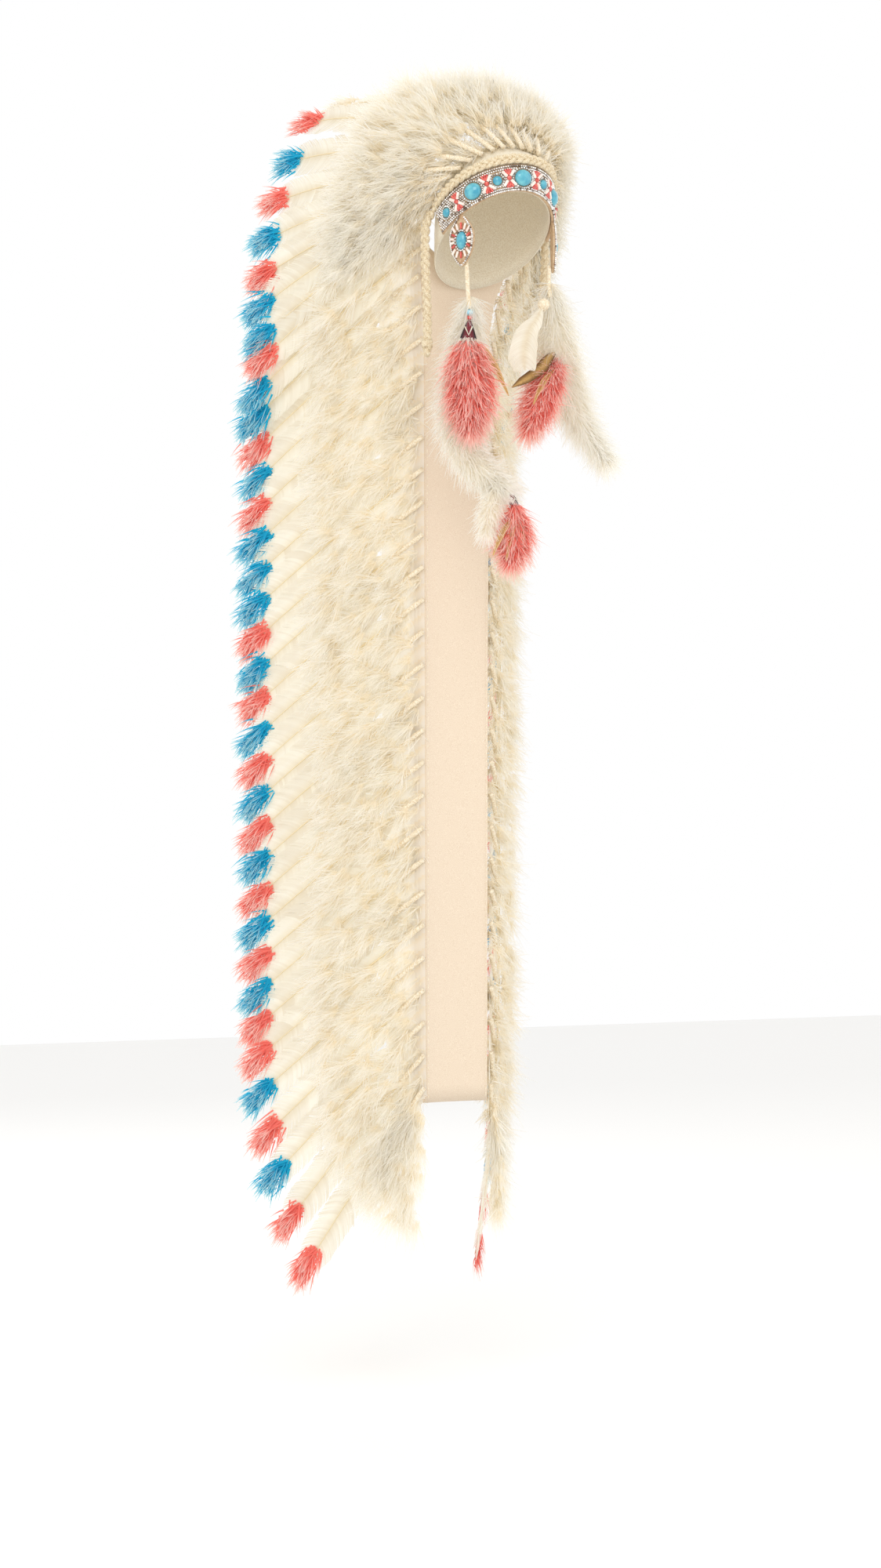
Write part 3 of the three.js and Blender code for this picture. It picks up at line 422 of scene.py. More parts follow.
class Heap:
    """Points and faces of one piece, gathered until it is made."""

    def __init__(self):
        self.points, self.faces, self.along, self.tint, self.count = [], [], [], [], 0

    def add(self, points, faces, along=None, tint=None, side=None):
        points = np.array(points, float).reshape(-1, 3)
        flip = side is not None and side["sign"] == 1
        if flip:
            points = points * (-1, 1, 1)
        n = len(points)
        self.points.append(points)
        for group in faces if isinstance(faces, list) else [faces]:
            group = np.asarray(group, int)
            self.faces.append((group[:, ::-1] if flip else group) + self.count)
        self.along.append(np.zeros(n) if along is None else np.asarray(along, float).ravel())
        self.tint.append(np.zeros(n) if tint is None else np.asarray(tint, float).ravel())
        self.count += n

    def piece(self, name, material, smooth=True):
        mesh = bpy.data.meshes.new(name)
        faces = [f for group in self.faces for f in group.tolist()]
        mesh.from_pydata((np.concatenate(self.points) * MM).tolist(), [], faces)
        for label, lists in (("along", self.along), ("tint", self.tint)):
            mesh.attributes.new(label, "FLOAT", "POINT").data.foreach_set("value", np.concatenate(lists))
        mesh.materials.append(material)
        mesh.polygons.foreach_set("use_smooth", [smooth] * len(mesh.polygons))
        obj = bpy.data.objects.new(name, mesh)
        bpy.context.scene.collection.objects.link(obj)
        return obj


def grid_faces(strips, rows):
    """Quads of many strips of two-point rows, stacked one after another."""
    first = (np.arange(strips)[:, None] * rows + np.arange(rows - 1)[None, :]).ravel() * 2
    return np.stack([first, first + 1, first + 3, first + 2], axis=1)


def ribbons(heap, start, direction, flat, length, width, sag, steps=4, side=None, bend=None, taper=0.7):
    """Fibres from start along direction; flat is the way that their faces look."""
    n = len(start)
    direction = unit(direction)
    t = np.linspace(0, 1, steps + 1)[None, :, None]
    length, width, sag = (np.broadcast_to(v, n)[:, None, None] for v in (length, width, sag))
    middle = start[:, None] + direction[:, None] * length * t - UP * sag * t * t
    if bend is not None:
        middle = middle + bend[:, None] * t * t
    half = unit(np.cross(direction, flat))[:, None] * width / 2 * (1 - taper * t)
    points = np.stack([middle - half, middle + half], axis=2)
    if side is not None:
        points[..., 0] = np.minimum(points[..., 0], -GAP)
    along = np.broadcast_to(t[..., None], (n, steps + 1, 2, 1))
    tint = np.broadcast_to(rng.random(n)[:, None, None, None], (n, steps + 1, 2, 1))
    heap.add(points, grid_faces(n, steps + 1), along, tint, side)


def tube(heap, path, radius, sides=6, side=None, close=True):
    """A closed tube along points; radius is a number or one for each point."""
    path = np.asarray(path, float)
    n = len(path)
    radius = np.broadcast_to(np.asarray(radius, float), n)
    ahead = unit(np.gradient(path, axis=0))
    start = np.cross(ahead[0], UP if abs(ahead[0] @ UP) < 0.9 else np.array([1.0, 0, 0]))
    across = [unit(start)]
    for k in range(1, n):
        across.append(unit(across[-1] - ahead[k] * (across[-1] @ ahead[k])))
    across = np.array(across)
    deep = np.cross(ahead, across)
    turn = np.linspace(0, 2 * math.pi, sides, endpoint=False)[None, :, None]
    round_it = across[:, None] * np.cos(turn) + deep[:, None] * np.sin(turn)
    ring = path[:, None] + radius[:, None, None] * round_it
    along = np.broadcast_to(np.linspace(0, 1, n)[:, None], (n, sides))
    k, s = np.meshgrid(np.arange(n - 1), np.arange(sides), indexing="ij")
    k, s = k.ravel(), s.ravel()
    nxt = (s + 1) % sides
    quads = np.stack([k * sides + s, k * sides + nxt, (k + 1) * sides + nxt, (k + 1) * sides + s], axis=1)
    points = ring.reshape(-1, 3)
    if close:
        points = np.concatenate([points, [path[0], path[-1]]])
        s = np.arange(sides)
        nxt = (s + 1) % sides
        low = np.stack([np.full(sides, n * sides), nxt, s], axis=1)
        top = (n - 1) * sides
        high = np.stack([np.full(sides, n * sides + 1), top + s, top + nxt], axis=1)
        along = np.concatenate([along.ravel(), [0, 1]])
        quads = [quads, low, high]
    heap.add(points, quads, along, None, side)


def finish_piece(obj, slot, *nodes):
    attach(obj, "root")
    if nodes:
        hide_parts(*nodes)
    tris = sum(len(p.vertices) - 2 for p in obj.data.polygons)
    print(f"{obj.name}: {tris} triangles")
    return obj


# %% [markdown]
# ## Braid tails
# The braid's free ends hang behind the ears. They are limp cords, so they come first: their
# length and route are the solids'. Each is three strands that cross in turn, each strand a tube
# that swings from side to side and from front to back.

# %% A three-strand braid


def smooth_route(points, count):
    """A curve through a few points, in even steps."""
    points = np.asarray(points, float)
    ends = np.concatenate([[2 * points[0] - points[1]], points, [2 * points[-1] - points[-2]]])
    out = []
    for i in range(1, len(ends) - 2):
        a, b, c, d = ends[i - 1:i + 3]
        for t in np.linspace(0, 1, 24, endpoint=False):
            out.append(0.5 * (2 * b + (c - a) * t + (2 * a - 5 * b + 4 * c - d) * t**2
                              + (3 * b - a - 3 * c + d) * t**3))
    out = np.array(out + [points[-1]])
    run = np.concatenate([[0], np.cumsum(np.linalg.norm(np.diff(out, axis=0), axis=1))])
    at = np.linspace(0, run[-1], count)
    return np.stack([np.interp(at, run, out[:, i]) for i in range(3)], axis=1), run[-1]


def braid(heap, path, across, out, width, thickness, plait, side=None, sides=8):
    """Three strands along a path; plait is the length in which one strand comes back."""
    run = np.concatenate([[0], np.cumsum(np.linalg.norm(np.diff(path, axis=0), axis=1))])
    strand = thickness * 0.3
    for k in range(3):
        turn = 2 * math.pi * (run / plait + k / 3)
        swing = (width / 2 - strand) * np.sin(turn)
        lift = (thickness / 2 - strand) * np.sin(2 * turn)
        line = path + across * swing[:, None] + out * lift[:, None]
        tube(heap, line, strand * (1 + 0.08 * np.sin(turn * 3)), sides, side)


BRAID_TAIL_ROUTE = [(-83.2, 17.2, 18.6), (-88.3, 19.6, 8), (-91.8, 20.4, -6), (-92.6, 19.6, -40),
                    (-90, 21, -85), (-88, 22, -130), (-89, 21, -176)]
TAIL = dict(width=15.5, thickness=11, plait=34, binding=7.9)


def braid_tail(side):
    path, length = smooth_route(BRAID_TAIL_ROUTE, 90)
    ahead = unit(np.gradient(path, axis=0))
    out = unit(np.cross(np.tile([0, 1.0, 0], (len(path), 1)), ahead))
    heap = Heap()
    braid(heap, path, np.cross(ahead, out), out, TAIL["width"], TAIL["thickness"], TAIL["plait"], side)
    tube(heap, path[-10:-5], TAIL["binding"], 14, side)  # a binding keeps the end from fraying
    obj = heap.piece(f"braid_tail_strands_{side['name']}", COTTON)
    finish_piece(obj, "braid", f"braid_tail_{side['name']}")
    line = path * ((1, 1, 1) if side["sign"] == -1 else (-1, 1, 1)) * MM
    tuple(line[0])


for side in SIDES:
    braid_tail(side)

# %% [markdown]
# ## Brow braid and band
# The same three strands run over the band's upper edge.

# %% Brow braid


def brow_braid():
    angles = np.linspace(-BAND["end"], BAND["end"], 220)
    rise = BAND["height"] / 2 + GAP + BRAID["width"] * 0.57
    path = np.array([brow_point(a, rise, BRAID["thickness"] * 0.12) for a in angles])
    axes = [brow_axes(a) for a in angles]
    heap = Heap()
    braid(heap, path, np.array([a[1] for a in axes]), np.array([a[2] for a in axes]),
          BRAID["width"] + 1, BRAID["thickness"] + 0.6, 31)
    finish_piece(heap.piece("brow_braid_strands", COTTON), "braid", "brow_braid")


brow_braid()

# %% [markdown]
# ## Feathers
# A primary feather is a shaft with barbs on both sides. Each barb here is a strip from the shaft
# to the edge, wide enough to touch the next, so that the vane reads as one blade that parts into
# clumps. The quill below the vane is wrapped, and a dyed tuft is tied over the tip.

# %% Vanes, shafts and tufts
VANE_AT = [50, 66, 95, 170, 245, 285, 305, 318]
VANE_HALF = [5, 15, 21, 24, 25.5, 25, 21.5, 13]
BARBS = 78


def vane(heap, line, side):
    wide, thick = twisted(line)
    for half in (-1, 1):
        start = np.linspace(54, 304, BARBS)
        clump = np.cumsum(rng.random(BARBS) < 0.16)
        lean = rng.normal(0, 1, clump[-1] + 1)[clump]
        reach = np.interp(start + 16, VANE_AT, VANE_HALF) * (1 + 0.05 * lean + 0.02 * rng.normal(size=BARBS))
        forward = 21 + 2.2 * lean
        lift = 0.9 * rng.normal(0, 1, clump[-1] + 1)[clump]
        t = np.linspace(0, 1, 5)[None, :]
        gap = (start[1] - start[0]) * 0.56
        edges = []
        for edge in (-1, 1):
            at = start[:, None] + edge * gap * (1 - 0.3 * t**3) + forward[:, None] * (0.4 * t + 0.6 * t * t)
            point = shaft_point(line, at)
            point = point + wide * (half * reach[:, None] * (1.1 * t - 0.1 * t * t))[..., None]
            point = point + thick * (0.5 + lift[:, None] * t * t - 2.0 * t * t * np.sign(half))[..., None]
            edges.append(point)
        points = np.stack(edges if half == 1 else edges[::-1], axis=2)
        points[..., 0] = np.minimum(points[..., 0], -GAP)
        along = np.broadcast_to(t[..., None], (BARBS, 5, 2))
        tint = (0.5 + 0.3 * lean + 0.2 * rng.normal(size=BARBS))[:, None, None]
        tint = np.broadcast_to(tint, (BARBS, 5, 2))
        heap.add(points, grid_faces(BARBS, 5), along, np.clip(tint, 0, 1), side)


def shaft(heap, line, side):
    at = np.linspace(46, 322, 14)
    path = shaft_point(line, at) + twisted(line)[1] * 1.0
    path[:, 0] = np.minimum(path[:, 0], -GAP - 2)
    tube(heap, path, np.linspace(1.5, 0.45, 14), 5, side)


def quill(heap, line, side):
    at = np.concatenate([np.linspace(0.5, 50, 10), [56, 62]])
    wind = 3.35 + 0.35 * np.sin(at * 1.9)
    wind[-2:] = (2.6, 1.9)
    tube(heap, shaft_point(line, at), wind, 8, side)


TUFT_STRANDS = 165
TUFT_ENDS = [286, 334]


def tuft(heap, line, side):
    """A dyed tuft over the tip: soft barbs that leave the shaft all round and fall a little."""
    wide, thick = twisted(line)
    strands = TUFT_STRANDS
    at = TUFT_ENDS[0] + (TUFT_ENDS[1] - TUFT_ENDS[0]) * rng.random(strands) ** 0.8
    start = (shaft_point(line, at) + thick * (1.4 + 3.5 * rng.random((strands, 1)))
             + wide * rng.normal(0, 6.5, (strands, 1)))
    spread = rng.uniform(-1, 1, (strands, 1))
    direction = (line["direction"] * (0.85 + 0.5 * rng.random((strands, 1))) + wide * spread * 0.85
                 + thick * rng.uniform(-0.08, 0.5, (strands, 1)))
    length = (22 + 16 * rng.random(strands)) * (1 - 0.2 * abs(spread[:, 0]))
    length = length * np.interp(at, TUFT_ENDS, [1.1, 0.8])
    flat = thick + 0.3 * rng.normal(size=(strands, 3))
    ribbons(heap, start, direction, flat, length, 2.6, 5, 3, side, taper=0.75)


CROWN_COLOURS = "white white white coral blue coral blue coral blue blue coral".split()
TRAILER_COLOURS = ("blue blue coral blue coral blue blue blue coral blue coral blue coral blue "
                   "coral blue coral blue coral blue coral coral blue coral blue coral coral").split()


def feathers(side):
    rows = [("crown", [crown_frame(a, side) for a in crown_angles], CROWN_COLOURS),
            ("trailer", [trailer_frame(h, side) for h in TRAILER_HEIGHTS], TRAILER_COLOURS)]
    name = side["name"]
    tufts = {"blue": Heap(), "coral": Heap(), "white": Heap()}
    for row, lines, colours in rows:
        blades, shafts, quills = Heap(), Heap(), Heap()
        for line, colour in zip(lines, colours):
            vane(blades, line, side)
            shaft(shafts, line, side)
            quill(quills, line, side)
            tuft(tufts[colour], line, side)
        finish_piece(blades.piece(f"{row}_vanes_{name}", VANE), "feather", f"{row}_feathers_{name}")
        finish_piece(shafts.piece(f"{row}_shafts_{name}", SHAFT), "feather")
        finish_piece(quills.piece(f"{row}_quills_{name}", WRAP), "feather")
    for colour, material in (("blue", BLUE_TUFT), ("coral", CORAL_TUFT), ("white", DOWN)):
        finish_piece(tufts[colour].piece(f"{colour}_tufts_{name}", material), "feather")


for side in SIDES:
    feathers(side)

# %% [markdown]
# ## Down
# White down hides the roots of the vanes. It grows from the quills, fills the space of the down
# solid and points out along the feathers.

# %% Down over the quills
CROWN_DOWN = dict(roots=(40, 168), reach=(30, 50), lift=(0.45, 1.4), fill=24)
TRAILER_DOWN = dict(roots=(20, 182), reach=(30, 48), lift=(0.12, 0.6), fill=12)
HEM_DOWN = dict(roots=(24, 172), reach=(30, 44), lift=(0.05, 0.4), fill=9)


def down(heap, line_at, low, high, count, shape, bulge, side):
    """Strands in bunches over a row of feathers; line_at gives a feather's frame anywhere on it."""
    places = np.linspace(low, high, 90)
    lines = [line_at(p) for p in places]
    wides = [twisted(line)[0] for line in lines]
    bunch = 26
    for k in range(count // bunch):
        i = rng.integers(len(places))
        line, swell = lines[i], bulge(places[i])
        at = rng.uniform(*shape["roots"])
        inner = np.interp(at, [50, 105, 190], [4, 8, 5])
        thick = math.sin(math.pi * min(max((at - 20) / 190, 0), 1))
        above = inner + shape["fill"] * swell * thick * rng.random() ** 1.3
        root = shaft_point(line, at) + line["facing"] * above
        root = root + wides[i] * rng.uniform(-9, 9)
        aim = (line["direction"] * rng.uniform(0.7, 1.2) + wides[i] * rng.normal(0, 0.35)
               + line["facing"] * rng.uniform(*shape["lift"]) * swell)
        start = root + rng.normal(0, 2.2, (bunch, 3))
        direction = unit(aim) + rng.normal(0, 0.26, (bunch, 3))
        length = rng.uniform(*shape["reach"]) * rng.uniform(0.6, 1.05, bunch) * (0.6 + 0.4 * swell)
        flat = line["facing"] + 0.35 * rng.normal(size=(bunch, 3))
        ribbons(heap, start, direction, flat, length, 1.3, 4, 3, side, bend=rng.normal(0, 3.5, (bunch, 3)))


def under_down(heap, line_at, low, high, count, side):
    """Short down behind and between the quills, so that no light shows through the row."""
    places = np.linspace(low, high, 60)
    lines = [line_at(p) for p in places]
    for k in range(count // 20):
        line = lines[rng.integers(len(lines))]
        root = shaft_point(line, rng.uniform(8, 60)) - line["facing"] * rng.uniform(1, 7)
        start = root + rng.normal(0, 2.5, (20, 3))
        direction = line["direction"] + rng.normal(0, 0.5, (20, 3))
        flat = line["facing"] + 0.3 * rng.normal(size=(20, 3))
        ribbons(heap, start, direction, flat, rng.uniform(14, 30, 20), 1.9, 2, 3, side)


def lining(heap, side):
    """A felted layer of down from quill to quill, behind the fluff of the trailer."""
    lines = [trailer_frame(h, side) for h in np.linspace(6, LAST_QUILL - 6, 60)]
    along = np.arange(4, 76, 6.0)
    for line, after in zip(lines, lines[1:]):
        start = shaft_point(line, along) - line["facing"] * 3
        reach = shaft_point(after, along) - after["facing"] * 3 - start
        length = np.linalg.norm(reach, axis=1) * 1.06
        ribbons(heap, start, reach, line["facing"] + 0 * start, length, 7.4, 0, 1, side, taper=0)


def crown_down(side):
    heap = Heap()
    down(heap, lambda a: crown_frame(a, side), 2, 116, 15600, CROWN_DOWN,
         lambda a: 1.05 - 0.75 * min(a / 110, 1), side)
    under_down(heap, lambda a: crown_frame(a, side), 3, 117, 3600, side)
    finish_piece(heap.piece(f"crown_fluff_{side['name']}", DOWN), "down", f"crown_down_{side['name']}")


def trailer_down(side):
    heap = Heap()

    def line_at(height):
        return trailer_frame(height, side)

    down(heap, line_at, -14, LAST_QUILL - 2, 16600, TRAILER_DOWN, lambda h: 1.0, side)
    # Below the last quill the down fans out to the hem
    down(heap, line_at, LAST_QUILL - 2, HEM, 3400, HEM_DOWN, lambda h: 1.0, side)
    under_down(heap, line_at, -14, LAST_QUILL, 6400, side)
    lining(heap, side)
    finish_piece(heap.piece(f"trailer_fluff_{side['name']}", DOWN), "down", f"trailer_down_{side['name']}")


for side in SIDES:
    crown_down(side)
    trailer_down(side)


# %% [markdown]
# ## Cap, band and trailer cloth
# The felt cap and the leather band are even walls, so they are grids of points on their real
# shape with a second grid inside. The trailer's cloth is one sheet that hangs from the cap, with
# both edges folded back for the quills.

# %% Walls


def wall(heap, outer, inner, closed=False):
    """A closed wall between two equal grids of points."""
    rows, columns = len(outer), len(outer[0])
    points = np.concatenate([np.reshape(outer, (-1, 3)), np.reshape(inner, (-1, 3))])
    spans = columns if closed else columns - 1

    def at(layer, row, column):
        return layer * rows * columns + row * columns + column % columns

    quads = []
    for i in range(rows - 1):
        for k in range(spans):
            quads.append([at(0, i, k), at(0, i, k + 1), at(0, i + 1, k + 1), at(0, i + 1, k)])
            quads.append([at(1, i, k), at(1, i + 1, k), at(1, i + 1, k + 1), at(1, i, k + 1)])
        if not closed:
            quads.append([at(0, i, 0), at(0, i + 1, 0), at(1, i + 1, 0), at(1, i, 0)])
            quads.append([at(0, i, spans), at(1, i, spans), at(1, i + 1, spans), at(0, i + 1, spans)])
    for k in range(spans):
        quads.append([at(0, 0, k), at(1, 0, k), at(1, 0, k + 1), at(0, 0, k + 1)])
        quads.append([at(0, rows - 1, k), at(0, rows - 1, k + 1), at(1, rows - 1, k + 1), at(1, rows - 1, k)])
    heap.add(points, np.array(quads))


def outward(obj):
    """Turn every face of a closed piece out, as Recalculate Outside does by hand."""
    bpy.ops.object.select_all(action="DESELECT")
    bpy.context.view_layer.objects.active = obj
    obj.select_set(True)
    bpy.ops.object.mode_set(mode="EDIT")
    bpy.ops.mesh.select_all(action="SELECT")
    bpy.ops.mesh.remove_doubles(threshold=1e-6)
    bpy.ops.mesh.normals_make_consistent(inside=False)
    bpy.ops.object.mode_set(mode="OBJECT")
    return obj


# %% Cap and band


def skull_cap():
    levels = [-1, -0.5, 0, 0.1, 0.22, 0.35, 0.5, 0.65, 0.8, 0.92, 0.985]
    columns = 64

    def grid(inset):
        return [[cap_point(360 * k / columns, level, inset) for k in range(columns)] for level in levels]

    heap = Heap()
    wall(heap, grid(0), grid(CAP["felt"]), closed=True)
    finish_piece(outward(heap.piece("felt_cap", FELT)), "felt", "skull_cap")


def brow_band():
    rises = np.linspace(-BAND["height"] / 2, BAND["height"] / 2, 4)
    angles = np.linspace(-BAND["end"], BAND["end"], 97)

    def grid(out):
        return [[brow_point(a, rise, out) for a in angles] for rise in rises]

    heap = Heap()
    wall(heap, grid(0), grid(-BAND["leather"]))
    finish_piece(outward(heap.piece("leather_band", LEATHER)), "leather", "brow_band")


skull_cap()
brow_band()

# %% Trailer cloth
CLOTH_ROWS = dict(
    fold=[-1200, -1167, -1080, -980, -800, -600, -450, -300, -132, -87, -42, -6],
    middle=[-1200, -1167, -1080, -980, -800, -600, -450, -300, -136, -98, -68, -44],
    y=[111, 111, 110, 112, 109, 112, 109, 112, 101, 94, 87, 86.3],
)


def cloth_row(height, side, offset):
    fold = fold_point(height)
    middle = np.interp(height, CLOTH_ROWS["fold"], CLOTH_ROWS["middle"])
    deep = np.interp(height, CLOTH_ROWS["fold"], CLOTH_ROWS["y"])
    points = []
    for u in np.linspace(0, 1, 13):
        points.append([fold[0] * math.sin(u * math.pi / 2),
                       fold[1] + (deep - fold[1]) * math.cos(u * math.pi / 2),
                       middle + (height - middle) * u])
    turn = math.radians(value(TRAILER_FAN, height, "fold") + side["sweep"])
    for reach in (CLOTH["wing"] / 2, CLOTH["wing"]):
        points.append(fold + np.array([-math.cos(turn), math.sin(turn), 0]) * reach)
    points = np.array(points)
    run = np.gradient(points, axis=0)
    run[0] = (-1, 0, 0)
    run[:, 2] = 0
    run = unit(run)
    points = points + np.stack([-run[:, 1], run[:, 0], 0 * run[:, 0]], axis=1) * offset
    return points if side["sign"] == -1 else points * (-1, 1, 1)


def trailer_cloth():
    heights = np.concatenate([np.linspace(-6, -132, 10), np.linspace(-150, -1200, 42)])

    def grid(offset):
        return [np.concatenate([cloth_row(h, RIGHT, offset)[:0:-1], cloth_row(h, LEFT, offset)])
                for h in heights]

    heap = Heap()
    half = CLOTH["thickness"] / 2
    wall(heap, grid(-half), grid(half))
    middle = np.array(grid(0))
    obj = outward(heap.piece("trailer_cloth", CLOTH_STUFF))
    finish_piece(obj, "cloth", "trailer_strip", "trailer_yoke")


trailer_cloth()


def cloth_stitches():
    """Running stitches on both faces, just inside the folds where the quills are laced."""
    heap = Heap()
    beside_fold = 11  # of a row's points, the last one before the fold
    skin = CLOTH["thickness"] / 2 + 0.3
    for side in SIDES:
        for offset in (-skin, skin):
            start = np.array([cloth_row(h, side, offset)[beside_fold] for h in np.arange(-20.0, -1190, -9.5)])
            ribbons(heap, start, -UP + 0 * start, np.array([0, 1.0, 0]) + 0 * start, 5.2, 1.1, 0, 1, taper=0)
    finish_piece(heap.piece("cloth_stitches", WRAP), "cloth")


cloth_stitches()

# %% [markdown]
# ## Stones and beads
# A bead or stone is modelled once with Blender's own tools and copied to its places. The stones
# are domed cabochons, ringed by silver seed beads. Between them, cream tubes radiate from a
# coral bead, with coral tubes in the gaps.

# %% One bead, one tube, one stone


def start_clean():
    if bpy.context.object and bpy.context.object.mode != "OBJECT":
        bpy.ops.object.mode_set(mode="OBJECT")
    bpy.ops.object.select_all(action="DESELECT")


def taken(obj):
    """A model's points in its own size and its faces, and the model is removed."""
    points = np.array([v.co for v in obj.data.vertices])
    polygons = [list(p.vertices) for p in obj.data.polygons]
    faces = [np.array([p for p in polygons if len(p) == n]) for n in (3, 4, 5, 6, 8, 10, 12)]
    faces = [f for f in faces if len(f)]
    bpy.data.objects.remove(obj)
    return points, faces


def seed_bead():
    start_clean()
    bpy.ops.mesh.primitive_uv_sphere_add(segments=7, ring_count=4, radius=0.5)
    return taken(bpy.context.object)


def tube_bead():
    start_clean()
    bpy.ops.mesh.primitive_cylinder_add(vertices=10, radius=0.5, depth=1)
    bpy.ops.object.mode_set(mode="EDIT")
    bpy.ops.mesh.select_all(action="SELECT")
    bpy.ops.mesh.bevel(offset=0.07, segments=1)
    bpy.ops.object.mode_set(mode="OBJECT")
    return taken(bpy.context.object)


def cabochon():
    start_clean()
    bpy.ops.mesh.primitive_uv_sphere_add(segments=32, ring_count=16, radius=0.5)
    bpy.ops.object.mode_set(mode="EDIT")
    bpy.ops.mesh.select_all(action="SELECT")
    bpy.ops.mesh.bisect(plane_co=(0, 0, 0), plane_no=(0, 0, 1), clear_inner=True, use_fill=True)
    bpy.ops.object.mode_set(mode="OBJECT")
    for v in bpy.context.object.data.vertices:
        v.co.z *= 2
    return taken(bpy.context.object)


BEAD, TUBE, DOME = seed_bead(), tube_bead(), cabochon()


def copy_to(heap, model, axes, middle, size, side=None):
    points, faces = model
    points = (points * np.asarray(size, float)) @ np.asarray(axes, float) + middle
    heap.add(points, faces, None, np.full(len(points), rng.random()), side)


# %% Brow stones and beads
CABOCHONS = [(77, 15.5, 15.5, 5), (48, 27, 25, 7.5), (25, 15.5, 15.5, 5), (0, 27, 25, 7.5),
             (-25, 15.5, 15.5, 5), (-48, 27, 25, 7.5), (-77, 15.5, 15.5, 5)]
STARS = [63.5, 34.5, 14.2, -14.2, -34.5, -63.5]
SEED = 3.2


def brow_local(angle, x, y, out):
    """A place on the band from a nearby angle: x along it and y up it, in millimetres."""
    run = math.hypot(RING_A * math.cos(math.radians(angle)), RING_B * math.sin(math.radians(angle)))
    tilt = SLOPE * RING_B * math.sin(math.radians(angle))
    return brow_point(angle + math.degrees(x / math.hypot(run, tilt)), y, out)


def ring_of_beads(heap, place, width, height, size, count):
    for k in range(count):
        turn = 2 * math.pi * k / count
        point, axes = place((width / 2) * math.cos(turn), (height / 2) * math.sin(turn))
        copy_to(heap, BEAD, axes, point, (size, size, size))


def brow_stones():
    stones, silver = Heap(), Heap()
    for angle, width, height, rise in CABOCHONS:
        axes = brow_axes(angle)
        copy_to(stones, DOME, axes, brow_point(angle, 0, GAP), (width - 2.4, height - 2.4, rise))

        def place(x, y, angle=angle, axes=axes):
            return brow_local(angle, x, y, 1.3), axes

        count = 27 if width > 20 else 18
        ring_of_beads(silver, place, width + 2.2, height + 2.2, SEED, count)
    for rise in np.arange(-5, 6) * SEED:
        for k in range(94):
            angle = -BAND["end"] + 1 + k * (2 * BAND["end"] - 2) / 93 + (0.9 if round(rise / SEED) % 2 else 0)
            run = math.hypot(RING_A, RING_B) / math.sqrt(2)
            near = min(math.hypot(math.radians(angle - a) * run * 1.15 / (w / 2 + 2.6), rise / (h / 2 + 2.6))
                       for a, w, h, _ in CABOCHONS)
            if near > 1 and angle < BAND["end"] - 1:
                lift = 1.2 if abs(rise) > 4.5 * SEED else 0.7
                copy_to(silver, BEAD, brow_axes(angle), brow_point(angle, rise, lift), (SEED, SEED, SEED))
    nodes = [f"brow_cabochon_{i + 1}" for i in range(len(CABOCHONS))]
    finish_piece(stones.piece("brow_stones", STONE), "turquoise", *nodes)
    finish_piece(silver.piece("brow_seed_beads", SILVER), "tube_bead")


def bead_stars():
    cream, coral = Heap(), Heap()
    for angle in STARS:
        along, up, out = brow_axes(angle)
        middle = brow_point(angle, 0, 2.4)
        copy_to(coral, BEAD, (along, up, out), middle + out * 1.2, (7, 7, 5.5))
        for lean in (50, 130, 230, 310):
            turn = math.radians(lean)
            ray = along * math.cos(turn) + up * math.sin(turn)
            copy_to(cream, TUBE, (np.cross(ray, out), out, ray), middle + ray * 8.3, (4.2, 3.6, 9.6))
        for lean in (72, 90, 108, 252, 270, 288):
            turn = math.radians(lean)
            ray = along * math.cos(turn) + up * math.sin(turn)
            place = middle + ray * 8.6 - out * 0.8
            copy_to(coral, TUBE, (np.cross(ray, out), out, ray), place, (3.2, 2.8, 8.6))
    nodes = [f"bead_star_{i + 1}" for i in range(len(STARS))]
    finish_piece(cream.piece("star_cream_tubes", CREAM_TUBE, False), "tube_bead", *nodes)
    finish_piece(coral.piece("star_coral_tubes", CORAL_TUBE, False), "coral_bead")


brow_stones()
bead_stars()

# %% [markdown]
# ## Ear flaps
# Each flap is a pointed leather leaf that hangs from the band, with an oval stone and a field of
# tubes that radiate from it, edged with seed beads.

# %% Ear flaps
FLAP = dict(angle=65, width=45, height=70, leather=2.5, drop=0.5)
FLAP_STONE = dict(width=18, height=25, rise=6)


def leaf_half_width(y):
    """Half the leaf's width at a height, as a share of the whole, from -0.5 to 0.5."""
    return float(np.interp(y, [-0.5, -0.42, -0.3, -0.15, 0, 0.1, 0.22, 0.35, 0.44, 0.5],
                           [0, 0.17, 0.31, 0.42, 0.46, 0.46, 0.4, 0.27, 0.15, 0]))


def flap_axes():
    normal = brow_normal(FLAP["angle"])
    return unit(np.cross(UP, normal)), UP, normal


def flap_point(x, y, out):
    along, up, normal = flap_axes()
    top = brow_point(FLAP["angle"], -BAND["height"] / 2, 0)
    middle = top + normal * out - up * (FLAP["drop"] + FLAP["height"] / 2)
    return middle + along * x + up * y


